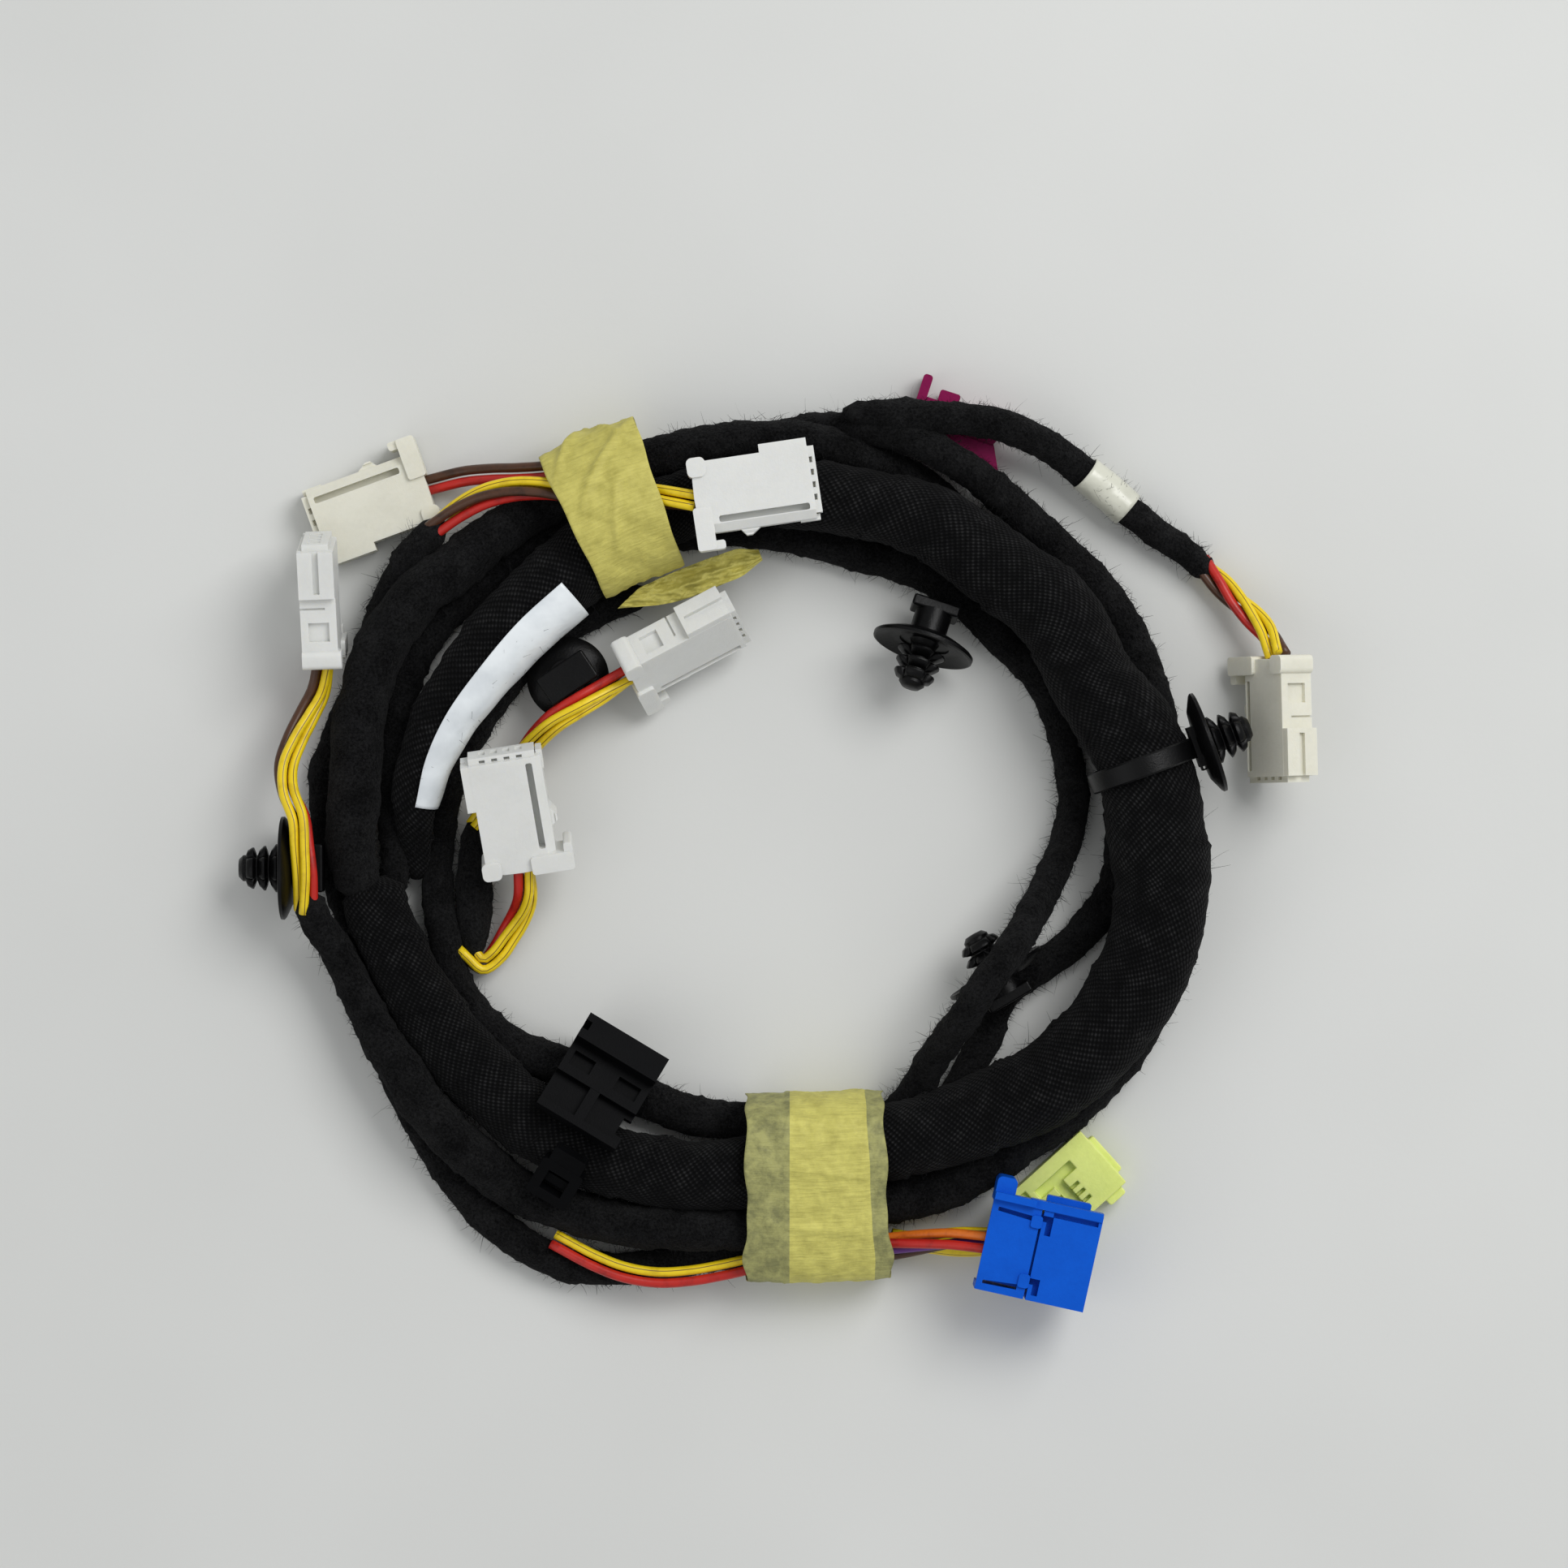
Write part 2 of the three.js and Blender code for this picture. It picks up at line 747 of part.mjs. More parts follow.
// A housing with four ways. Its wire end is at x = 0, and the lock groove is on top.
function housing() {
  const end = HOUSING_LENGTH;
  const side = HOUSING_WIDTH / 2;
  const top = HOUSING_HEIGHT / 2;
  const body = blockFrom([0, -side, -top], [end, side, top]);
  const collar = blockFrom([end - COLLAR_LENGTH, -side, -top], [end, side + COLLAR_STEP, top]);
  const nose = blockFrom(
    [end - GAP, NOSE_INSET - side, NOSE_INSET - top],
    [end + NOSE_LENGTH, side, top - NOSE_INSET],
  );
  const nub = blockFrom(
    [-FLANGE_LEDGE, side - NUB_WIDTH, -top],
    [FLANGE_THICKNESS, side + NUB_REACH, top],
  );
  const latch = blockFrom(
    [-FLANGE_LEDGE, -side - LATCH_REACH, -top],
    [FLANGE_THICKNESS, LATCH_INNER - side, top + FLANGE_RISE],
  );
  const hook = blockFrom(
    [-FLANGE_LEDGE, -side - LATCH_REACH, -top],
    [FLANGE_THICKNESS + KEY_SIZE, KEY_SIZE - side - LATCH_REACH, top],
  );
  const keyX = KEY_PLACE * end;
  const key = blockFrom([keyX, -side - KEY_SIZE / 2, -top], [keyX + 2 * KEY_SIZE, -side, top / 2]);
  let solid = joined([body, collar, nose, nub, latch, hook, key]);
  const slotY = LOCK_SLOT_INSET - side;
  const slotX = end - WAY_DEPTH - GAP - LOCK_SLOT_SHARE * end;
  const groove = blockFrom(
    [slotX, slotY, top - LOCK_SLOT_DEPTH],
    [slotX + LOCK_SLOT_SHARE * end, slotY + LOCK_SLOT_WIDTH, top + GAP],
  );
  solid = solid.subtract(groove);
  for (let i = 0; i < WAYS; i++) {
    const y = (i - (WAYS - 1) / 2) * WAY_PITCH + COLLAR_STEP / 2;
    const way = block(2 * WAY_DEPTH, WAY_SLOT, top, end + NOSE_LENGTH, y, 0);
    solid = solid.subtract(way);
  }
  return solid;
}

// A fir-tree clip. The tree points along x from the disc's face at x = 0.
function firTree(discDiameter, treeLength, neckLength) {
  const disc = discDiameter / 2;
  const flat = Math.min(DISC_FLAT_D / 2, disc - 2 * DISC_WALL);
  const core = TREE_CORE_D / 2;
  const barb = TREE_BARB_D / 2;
  const seat = barb + DISC_SEAT_STEP;
  const start = 1;
  const pitch = (treeLength - start) / (TREE_BARBS + 0.5);
  const profile = [
    [0, -DISC_WALL - neckLength],
    [NECK_D / 2, -DISC_WALL - neckLength],
    [NECK_D / 2, -DISC_WALL],
    [flat, -DISC_WALL],
    [disc, DISC_DISH - DISC_WALL],
    [disc, DISC_DISH],
    [flat, 0],
    [seat, 0],
    [seat, -DISC_SEAT_STEP],
    [core, -DISC_SEAT_STEP],
  ];
  for (let i = 0; i < TREE_BARBS; i++) {
    const x = start + i * pitch;
    profile.push([core, x], [barb, x + 0.25 * pitch], [core, x + 0.9 * pitch]);
  }
  profile.push([TREE_TIP_D / 2, treeLength], [0, treeLength]);
  const points = profile.map(([r, x]) => new THREE.Vector2(r, x));
  const geometry = new THREE.LatheGeometry(points, CLIP_SIDES);
  geometry.rotateZ(-Math.PI / 2);
  return solidOf(geometry);
}

function padBehind(neckLength, length, width, wall) {
  const x = -DISC_WALL - neckLength;
  return blockFrom([x - wall, -length / 2, -width / 2], [x + GAP, length / 2, width / 2]);
}

function clip(neckLength, padLength, discDiameter = DISC_D, treeLength = TREE_LENGTH) {
  const pad = padBehind(neckLength, padLength, PAD_WIDTH, PAD_WALL);
  return firTree(discDiameter, treeLength, neckLength).add(pad);
}

// The clip on a cable tie. The tie runs round the trunk about the local y axis.
function tieClip(trunkRadius) {
  const inside = trunkRadius + GAP + PRESS_GAP;
  const outside = inside + TIE_WALL;
  const band = new THREE.Shape(ring(TIE_SIDES, outside));
  band.holes.push(new THREE.Shape(ring(TIE_SIDES, inside)));
  const geometry = new THREE.ExtrudeGeometry(band, { depth: TIE_WIDTH, bevelEnabled: false });
  geometry.translate(0, 0, -TIE_WIDTH / 2);
  geometry.rotateX(Math.PI / 2);
  const discX = outside + 1.4;
  const head = blockFrom(
    [outside - TIE_WALL / 2, -TIE_WIDTH, -TIE_HEAD / 2],
    [discX - DISC_WALL / 2, TIE_WIDTH, TIE_HEAD / 2],
  );
  const tree = firTree(DISC_D, TREE_LENGTH, GAP).translate(discX, 0, 0);
  return joined([solidOf(geometry), head, tree]);
}

// The channel clip that straddles the inner strand: a roof, two legs and a cross rib.
function channelClip() {
  const end = CHANNEL_LENGTH / 2;
  const side = CHANNEL_WIDTH / 2;
  const roof = blockFrom([-end, -side, 0], [end, side, CHANNEL_WALL]);
  const ridge = blockFrom([-end, side - 4, 0], [end, side, CHANNEL_HEIGHT]);
  const step = blockFrom([-end, -1.5, 0], [end, side, CHANNEL_HEIGHT / 2]);
  const rib = blockFrom([-1, -side, 0], [0.6, side, CHANNEL_HEIGHT / 2]);
  const lip = blockFrom([-end, -side, 0], [end, -side + 1.2, CHANNEL_HEIGHT / 2]);
  const leg = blockFrom([-end, side - CHANNEL_WALL, -CHANNEL_LEG], [end, side, CHANNEL_WALL]);
  return joined([roof, ridge, step, rib, lip, leg]);
}

function buckle() {
  const half = BUCKLE_SIDE / 2;
  const window = BUCKLE_WINDOW / 2;
  const frame = blockFrom([-half, -half, 0], [half, half, BUCKLE_WALL]);
  const hole = blockFrom([-window, -window, -GAP], [window, window, BUCKLE_WALL + GAP]);
  const tongue = blockFrom([-window - GAP, -0.8, 0], [window + GAP, 0.8, BUCKLE_WALL / 2]);
  const latch = blockFrom([-2.6, half - GAP, 0], [2.6, half + 2.4, BUCKLE_WALL]);
  return joined([frame.subtract(hole), tongue, latch]);
}

function blueBody() {
  const end = BLUE_LENGTH / 2;
  const side = BLUE_WIDTH / 2;
  const top = BLUE_HEIGHT / 2;
  const front = blockFrom([-1, -side, -top], [end, side, top]);
  const rear = blockFrom([-end, -side + BLUE_LIP, -top], [0, side - BLUE_LIP, top - BLUE_LIP]);
  const latch = blockFrom([-1, side - GAP, -1], [end - 2, side + BLUE_LIP, 1]);
  return joined([front, rear, latch]);
}

function blueCover() {
  const end = BLUE_LENGTH / 2;
  const side = BLUE_WIDTH / 2;
  const top = BLUE_HEIGHT / 2;
  const low = top - BLUE_LIP + GAP;
  const far = -1 - GAP;
  const near = -end - BLUE_COVER_WALL;
  const roof = blockFrom([near, -side, low], [far, side, low + BLUE_COVER_WALL]);
  const walls = [-1, 1].map((way) => {
    const y0 = way * (side - BLUE_LIP + GAP);
    const y1 = way * side;
    return blockFrom([near, Math.min(y0, y1), -top], [far, Math.max(y0, y1), low + GAP]);
  });
  const collar = blockFrom([near, side - GAP, -top], [near + 2.5, side + 2.6, low + GAP]);
  return joined([roof, ...walls, collar]);
}

function magentaBody() {
  const end = MAGENTA_LENGTH / 2;
  const side = MAGENTA_WIDTH / 2;
  const outline = [
    [-end, -side],
    [end, -side],
    [end - MAGENTA_NOTCH, 0],
    [end, side],
    [-end, side],
  ];
  const body = plate(outline, MAGENTA_HEIGHT, -MAGENTA_HEIGHT / 2);
  const fin = blockFrom([-end, side - GAP, -1.8], [-end + 1.4, side + 3.2, 1.8]);
  const lug = blockFrom([-end + 3, side - GAP, -1], [-end + 6, side + 1.8, 1]);
  return joined([body, fin, lug]);
}

function greenBody() {
  const end = GREEN_LENGTH / 2;
  const side = GREEN_WIDTH / 2;
  const top = GREEN_HEIGHT / 2;
  let solid = blockFrom([-end, -side, -top], [end, side, top]);
  const tab = blockFrom([end - 4, -side - 1.2, -top], [end - 1, -side, top - 1]);
  solid = solid.add(tab);
  for (let i = 0; i < 3; i++) {
    const groove = block(1.0, 4.5, 1.6, -1.5 + 2 * i, 0, top);
    solid = solid.subtract(groove);
  }
  return solid;
}

const trunk = strand(TRUNK_ROUTE, TRUNK_SIDES);
const trunkRoom = strand(TRUNK_ROUTE, TRUNK_SIDES, PRESS_GAP);
const outer = cutBy(strand(OUTER_ROUTE), [trunkRoom]);
const outerRoom = strand(OUTER_ROUTE, STRAND_SIDES, PRESS_GAP);
const long = cutBy(strand(LONG_ROUTE), [trunkRoom, outerRoom]);
const longRoom = strand(LONG_ROUTE, STRAND_SIDES, PRESS_GAP);
const left = cutBy(strand(LEFT_ROUTE), [trunkRoom, outerRoom, longRoom]);
const inner = cutBy(strand(INNER_ROUTE), [trunkRoom, longRoom, outerRoom]);
const innerRoom = strand(INNER_ROUTE, STRAND_SIDES, PRESS_GAP);
const labelBranch = cutBy(strand(LABEL_BRANCH_ROUTE), [trunkRoom, outerRoom, longRoom]);
const stub = cutBy(strand(STUB_ROUTE), [trunkRoom, innerRoom, outerRoom]);

// Colours
const COLOURS = {
  fleece: { color: 0x161616, roughness: 0.95, metalness: 0 },
  masking: { color: 0xd8cf86, roughness: 0.7, metalness: 0 },
  paper: { color: 0xf0f0f0, roughness: 0.45, metalness: 0 },
  white: { color: 0xe9e9e4, roughness: 0.45, metalness: 0 },
  cream: { color: 0xe6e3cf, roughness: 0.5, metalness: 0 },
  blue: { color: 0x0a4fc4, roughness: 0.45, metalness: 0 },
  magenta: { color: 0x7a1450, roughness: 0.45, metalness: 0 },
  green: { color: 0xd3dc9a, roughness: 0.4, metalness: 0 },
  black: { color: 0x0d0d0f, roughness: 0.35, metalness: 0 },
  red: { color: 0xc01c0e, roughness: 0.4, metalness: 0 },
  yellow: { color: 0xf0d400, roughness: 0.4, metalness: 0 },
  brown: { color: 0x5a3016, roughness: 0.4, metalness: 0 },
  violet: { color: 0x4a2a86, roughness: 0.4, metalness: 0 },
  orange: { color: 0xe07a10, roughness: 0.4, metalness: 0 },
};

const harness = new THREE.Group();
harness.name = "wiring_harness";

function add(name, solid, colour) {
  const mesh = new THREE.Mesh(geometryOf(solid), new THREE.MeshStandardMaterial(COLOURS[colour]));
  mesh.name = name;
  harness.add(mesh);
}

add("trunk", trunk, "fleece");
add("branch_outer", outer, "fleece");
add("branch_long", long, "fleece");
add("branch_left", left, "fleece");
add("branch_inner", inner, "fleece");
add("branch_label", labelBranch, "fleece");
add("branch_stub", stub, "fleece");

for (const [place, pigtail] of Object.entries(PIGTAILS)) {
  wiresOf(pigtail).forEach((wire, i) => {
    const name = pigtail.wires[i];
    add(`wire_${place}_${name}`, wire, name.split("_")[0]);
  });
}
add("lead_magenta", round(MAGENTA_LEAD_ROUTE, COAX_D, 2 * WIRE_STEP), "brown");
add("lead_green", round(GREEN_LEAD_ROUTE, COAX_D, 2 * WIRE_STEP), "yellow");

add("masking_tape_top", wrap(TOP_WRAP_ROUTE, TOP_WRAP_OUTLINE), "masking");
add("masking_tape_bottom", wrap(BOTTOM_WRAP_ROUTE, BOTTOM_WRAP_OUTLINE), "masking");
add("masking_tape_tail", plate(TAIL_OUTLINE, TAPE_WALL, TAIL_HEIGHT), "masking");
add("label_flag", labelStrip(FLAG_LABEL_ROUTE, 95, 235), "paper");
add("label_sleeve", sleeve(SLEEVE_LABEL_ROUTE), "paper");

const degrees = THREE.MathUtils.degToRad;
const HOUSINGS = {
  top: { place: [-9.3, 50.6, 17.1], heading: 8.4, roll: 0, pitch: 0, colour: "white" },
  top_left: { place: [-48.4, 53.3, 3.2], heading: 200, roll: 0, pitch: 0, colour: "cream" },
  left: { place: [-63.3, 28, 8.1], heading: 92, roll: 90, pitch: 14, colour: "white" },
  centre: { place: [-34.3, -2.2, 8.7], heading: 99, roll: 0, pitch: 18, colour: "white" },
  middle_top: { place: [-18.9, 25.7, 7.8], heading: 27.8, roll: 60, pitch: 0, colour: "white" },
  right: { place: [74.7, 27.9, 7.8], heading: -88.5, roll: 60, pitch: 0, colour: "cream" },
};
for (const [name, at] of Object.entries(HOUSINGS)) {
  const solid = placed(
    housing(),
    at.place,
    degrees(at.heading),
    degrees(at.roll),
    degrees(at.pitch),
  );
  add(`connector_${name}`, solid, at.colour);
}

const BLUE_PLACE = [[40.7, -57.8, 10.6], degrees(-12.5)];
add("connector_blue", placed(blueBody(), ...BLUE_PLACE), "blue");
add("connector_blue_cover", placed(blueCover(), ...BLUE_PLACE), "blue");
add("connector_magenta", placed(magentaBody(), [28.8, 61, 2.55], degrees(-18)), "magenta");
add("connector_green", placed(greenBody(), [44.4, -49.4, 2.4], degrees(42)), "green");

add("clip_trunk", placed(tieClip(6.6), [55.2, 12.4, 13.7], degrees(20)), "black");
add("clip_left", placed(clip(3.1, 7), [-68.6, -2.4, 7.8], degrees(180)), "black");
add("clip_upper", placed(clip(4.1, 7), [23.8, 30.1, 8], degrees(-108), 0, degrees(15)), "black");
add("clip_lower", placed(clip(2, 7), [34.4, -18, 7.7], degrees(120)), "black");
const CLIP_UNDER_LABEL = clip(2, 8, 12, 5.2);
add(
  "clip_label",
  placed(CLIP_UNDER_LABEL, [-27.9, 25.2, 5.5], degrees(-56), 0, degrees(-90)),
  "black",
);
add("clip_channel", placed(channelClip(), [-23.2, -34, 10.6], degrees(-31), degrees(-20)), "black");
add("clip_buckle", placed(buckle(), [-29.2, -47.2, 10.7], degrees(-31), degrees(30)), "black");

const bounds = new THREE.Box3().setFromObject(harness);
const middle = bounds.getCenter(new THREE.Vector3());
harness.position.set(-middle.x, -middle.y, -bounds.min.z);
harness.updateMatrixWorld(true);

export default harness;
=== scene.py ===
import math

import bmesh
import bpy
import numpy as np
from mathutils import Matrix, Vector


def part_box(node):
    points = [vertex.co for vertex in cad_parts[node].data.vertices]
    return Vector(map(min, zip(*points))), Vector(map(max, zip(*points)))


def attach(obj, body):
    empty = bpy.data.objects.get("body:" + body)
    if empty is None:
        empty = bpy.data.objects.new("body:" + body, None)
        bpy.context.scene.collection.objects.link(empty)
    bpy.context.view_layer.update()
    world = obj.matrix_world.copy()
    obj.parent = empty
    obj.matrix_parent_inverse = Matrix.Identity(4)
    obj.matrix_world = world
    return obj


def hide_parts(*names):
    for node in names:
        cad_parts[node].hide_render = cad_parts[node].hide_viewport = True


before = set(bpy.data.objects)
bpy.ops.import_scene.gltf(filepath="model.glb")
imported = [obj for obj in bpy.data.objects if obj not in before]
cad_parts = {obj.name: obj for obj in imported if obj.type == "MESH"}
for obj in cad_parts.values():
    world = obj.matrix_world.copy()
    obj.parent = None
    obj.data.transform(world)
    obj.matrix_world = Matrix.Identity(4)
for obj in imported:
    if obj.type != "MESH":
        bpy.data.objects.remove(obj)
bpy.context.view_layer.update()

MM = 0.001

# The source's own zero, found from the loose end of tape, whose outline's low corner it states.
TAIL_LOW = np.array([-20.6, 35.2, 8.6])
ZERO = np.array(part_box("masking_tape_tail")[0]) - TAIL_LOW * MM


def metres(points):
    return np.asarray(points, float)[..., :3] * MM + ZERO


def linked(name, data):
    """A new object in the scene."""
    obj = bpy.data.objects.new(name, data)
    bpy.context.scene.collection.objects.link(obj)
    return obj


def smooth_faces(mesh):
    mesh.polygons.foreach_set("use_smooth", [True] * len(mesh.polygons))


# Camera, straight above, framed as in the photograph
PICTURE_MM = 227.3
PICTURE_MIDDLE = (3.5, 9.8, 8.0)
CAMERA_FAR = 900.0
SENSOR = 36.0

camera_data = bpy.data.cameras.new("camera")
camera_data.sensor_width = SENSOR
camera_data.lens = SENSOR * CAMERA_FAR / PICTURE_MM
camera = linked("camera", camera_data)
camera.location = Vector(metres(PICTURE_MIDDLE)) + Vector((0, 0, CAMERA_FAR * MM))
bpy.context.scene.camera = camera
bpy.context.scene.view_settings.view_transform = "Standard"


# Materials
class Nodes:
    """A material's nodes, with short calls to add and join them."""

    def __init__(self, name):
        self.material = bpy.data.materials.new(name)
        self.material.use_nodes = True
        self.tree = self.material.node_tree
        self.shader = self.tree.nodes["Principled BSDF"]

    def add(self, kind, **settings):
        node = self.tree.nodes.new(kind)
        for key, value in settings.items():
            setattr(node, key, value)
        return node

    def join(self, out, into):
        self.tree.links.new(out, into)

    def noise(self, where, scale, detail=3.0, rough=0.55, stretch=None):
        node = self.add("ShaderNodeTexNoise")
        node.inputs["Scale"].default_value = scale
        node.inputs["Detail"].default_value = detail
        node.inputs["Roughness"].default_value = rough
        if stretch:
            mapping = self.add("ShaderNodeMapping")
            mapping.inputs["Scale"].default_value = stretch
            self.join(where, mapping.inputs["Vector"])
            where = mapping.outputs["Vector"]
        self.join(where, node.inputs["Vector"])
        return node.outputs["Fac"]

    def ramp(self, value, stops):
        node = self.add("ShaderNodeValToRGB")
        elements = node.color_ramp.elements
        while len(elements) < len(stops):
            elements.new(0.5)
        for element, (place, color) in zip(elements, stops):
            element.position = place
            element.color = (*color, 1)
        self.join(value, node.inputs["Fac"])
        return node.outputs["Color"]

    def math(self, kind, a, b=0.0):
        node = self.add("ShaderNodeMath", operation=kind)
        for i, value in enumerate((a, b)):
            if isinstance(value, (int, float)):
                node.inputs[i].default_value = value
            else:
                self.join(value, node.inputs[i])
        return node.outputs["Value"]

    def mix(self, value, a, b):
        node = self.add("ShaderNodeMix", data_type="RGBA")
        self.join(value, node.inputs["Factor"])
        for name, color in (("A", a), ("B", b)):
            socket = next(s for s in node.inputs if s.name == name and s.type == "RGBA")
            if isinstance(color, tuple):
                socket.default_value = (*color, 1)
            else:
                self.join(color, socket)
        return next(s for s in node.outputs if s.type == "RGBA")

    def bump(self, height, distance, strength=1.0, after=None):
        node = self.add("ShaderNodeBump")
        node.inputs["Distance"].default_value = distance * MM
        node.inputs["Strength"].default_value = strength
        self.join(height, node.inputs["Height"])
        if after:
            self.join(after, node.inputs["Normal"])
        return node.outputs["Normal"]

    def place(self):
        return self.add("ShaderNodeNewGeometry").outputs["Position"]

    def uv(self):
        return self.add("ShaderNodeTexCoord").outputs["UV"]

    def finish(self, color=None, normal=None, rough=None, **shader):
        if color is not None:
            self.join(color, self.shader.inputs["Base Color"])
        if normal is not None:
            self.join(normal, self.shader.inputs["Normal"])
        if rough is not None:
            self.join(rough, self.shader.inputs["Roughness"])
        for key, value in shader.items():
            self.shader.inputs[key.replace("_", " ")].default_value = value
        return self.material


def fleece(name, low, high):
    """Black needled fleece tape: fine tangled fibre, with lint and patches rubbed thin."""
    m = Nodes(name)
    where = m.place()
    tangle = m.noise(where, 2600, 4, 0.7)
    patches = m.noise(where, 260, 3)
    both = m.math("MULTIPLY", tangle, m.math("ADD", patches, 0.5))
    color = m.ramp(both, [(0.36, low), (0.72, high)])
    coarse = m.bump(m.noise(where, 900, 3, 0.7), 0.8, 0.9)
    fine = m.bump(tangle, 0.4, 1.0, coarse)
    return m.finish(color, fine, Roughness=0.95, Specular_IOR_Level=0.07, Sheen_Weight=0.03)


# Pitch of the threads, in metres along the bundle and round it
THREADS_ALONG = 0.00092
THREADS_AROUND = 0.00084


def woven(name):
    """Black woven cloth tape: a square weave with light flecks between the threads, which are painted
    highlights, and painted shade in the weave's hollows.
    """
    m = Nodes(name)
    where = m.place()
    split = m.add("ShaderNodeSeparateXYZ")
    m.join(m.uv(), split.inputs["Vector"])
    along, around = split.outputs["X"], split.outputs["Y"]
    tilt = m.math("MULTIPLY", around, 0.35)
    a = m.math("SINE", m.math("MULTIPLY", m.math("ADD", along, tilt), 2 * math.pi / THREADS_ALONG))
    b = m.math("SINE", m.math("MULTIPLY", around, 2 * math.pi / THREADS_AROUND))
    weave = m.math("MULTIPLY", a, b)
    # Noise that sets in patches where the painted highlights and the painted shade of the weave fall
    fleck_patches = m.noise(where, 330, 4, 0.7)
    level = m.math("ADD", m.math("MULTIPLY", weave, 0.3), fleck_patches)
    # The darkest tone (gap) is painted shade in the weave's hollows; the lightest is a painted highlight on
    # the raised threads
    gap, thread_tone, painted_fleck_highlight = (0.001, 0.001, 0.0012), (0.005, 0.005, 0.0053), (0.022, 0.022, 0.0225)
    color = m.ramp(level, [(0.38, gap), (0.66, thread_tone), (0.88, painted_fleck_highlight)])
    thread = m.bump(weave, 0.16, 0.8)
    fine = m.bump(m.noise(where, 2400, 4, 0.7), 0.2, 0.6, thread)
    return m.finish(color, fine, Roughness=0.9, Specular_IOR_Level=0.09, Sheen_Weight=0.02)


def moulded(name, color, dark, rough=0.42, through=0.0, grain=0.05, shine=0.4):
    """Moulded plastic: a little mottled, with a fine skin and softly varied gloss."""
    m = Nodes(name)
    where = m.place()
    cloud = m.noise(where, 170, 3)
    speck = m.noise(where, 1500, 2)
    shade = m.math("ADD", m.math("MULTIPLY", cloud, 0.7), m.math("MULTIPLY", speck, 0.3))
    tone = m.ramp(shade, [(0.32, dark), (0.6, color)])
    skin = m.bump(m.noise(where, 3200, 3, 0.6), grain, 0.5)
    gloss = m.math("ADD", m.math("MULTIPLY", cloud, 0.18), rough - 0.09)
    extra = {}
    if through:
        extra = {"Subsurface_Weight": through, "Subsurface_Scale": 0.0012, "Subsurface_Radius": (1, 0.9, 0.7)}
    return m.finish(tone, skin, gloss, Specular_IOR_Level=shine, **extra)


# A tracer's middle and half its width, in metres round the wire
TRACER_AT = 0.0009
TRACER_HALF = 0.00007


def jacket(name, color, dark, tracer=None):
    """A wire's jacket: glossy, with faint dust, darker rubbed spots and perhaps a thin tracer."""
    m = Nodes(name)
    where = m.place()
    rub = m.noise(where, 420, 4, 0.65)
    tone = m.ramp(rub, [(0.3, dark), (0.5, color)])
    if tracer:
        split = m.add("ShaderNodeSeparateXYZ")
        m.join(m.uv(), split.inputs["Vector"])
        away = m.math("ABSOLUTE", m.math("SUBTRACT", split.outputs["Y"], TRACER_AT))
        tone = m.mix(m.math("LESS_THAN", away, TRACER_HALF), tone, tracer)
    skin = m.bump(m.noise(where, 1800, 2), 0.04, 0.5)
    gloss = m.math("ADD", m.math("MULTIPLY", rub, 0.2), 0.26)
    return m.finish(tone, skin, gloss, Specular_IOR_Level=0.35, Coat_Weight=0.1, Coat_Roughness=0.25)


def crepe(name, low, high, edges):
    """Masking tape: creped yellow paper, paler and greyer where one layer covers black."""
    m = Nodes(name)
    where = m.place()
    split = m.add("ShaderNodeSeparateXYZ")
    m.join(m.uv(), split.inputs["Vector"])
    along = split.outputs["X"]
    crinkle = m.noise(m.uv(), 1.0, 4, 0.65, stretch=(260, 2300, 1))
    mottle = m.noise(where, 420, 4, 0.7)
    before = m.math("LESS_THAN", along, edges[0] * MM)
    single = m.math("MAXIMUM", before, m.math("GREATER_THAN", along, edges[1] * MM))
    level = m.math("ADD", m.math("MULTIPLY", crinkle, 0.45), m.math("MULTIPLY", mottle, 0.55))
    strong = m.ramp(level, [(0.32, low), (0.6, high)])
    thin = m.ramp(mottle, [(0.35, (0.2, 0.2, 0.075)), (0.62, (0.4, 0.39, 0.14))])
    color = m.mix(single, strong, thin)
    step = m.bump(single, 0.12, 0.8)
    ridges = m.bump(crinkle, 0.22, 0.75, step)
    folds = m.bump(m.noise(where, 150, 3, 0.6), 1.1, 0.6, ridges)
    through = {"Subsurface_Weight": 0.08, "Subsurface_Scale": 0.0006, "Subsurface_Radius": (1, 0.9, 0.4)}
    return m.finish(color, folds, Roughness=0.62, **through)


def paper(name, low, high):
    """A film label: glossy white with faint creases."""
    m = Nodes(name)
    where = m.place()
    cloud = m.noise(where, 120, 3)
    color = m.ramp(cloud, [(0.35, low), (0.6, high)])
    crease = m.bump(m.noise(where, 260, 3, 0.6), 0.5, 0.45)
    return m.finish(color, crease, Roughness=0.3, Coat_Weight=0.2, Coat_Roughness=0.2)


FLEECE = fleece("fleece_tape", (0.0008, 0.0008, 0.001), (0.016, 0.016, 0.0165))
WOVEN = woven("woven_tape")
FIBRE = fleece("loose_fibre", (0.003, 0.003, 0.0035), (0.016, 0.016, 0.017))
WHITE = moulded("white_plastic", (0.74, 0.745, 0.72), (0.7, 0.705, 0.68), 0.45, 0.3)
CREAM = moulded("cream_plastic", (0.76, 0.745, 0.64), (0.7, 0.685, 0.58), 0.45, 0.3)
BLUE = moulded("blue_plastic", (0.002, 0.098, 0.61), (0.002, 0.084, 0.54), 0.42, 0.0, 0.05, 0.1)
MAGENTA = moulded("magenta_plastic", (0.24, 0.006, 0.075), (0.19, 0.005, 0.06), 0.4, 0.0, 0.05, 0.1)
GREEN = moulded("green_plastic", (0.8, 0.88, 0.26), (0.7, 0.78, 0.21), 0.4, 0.5)
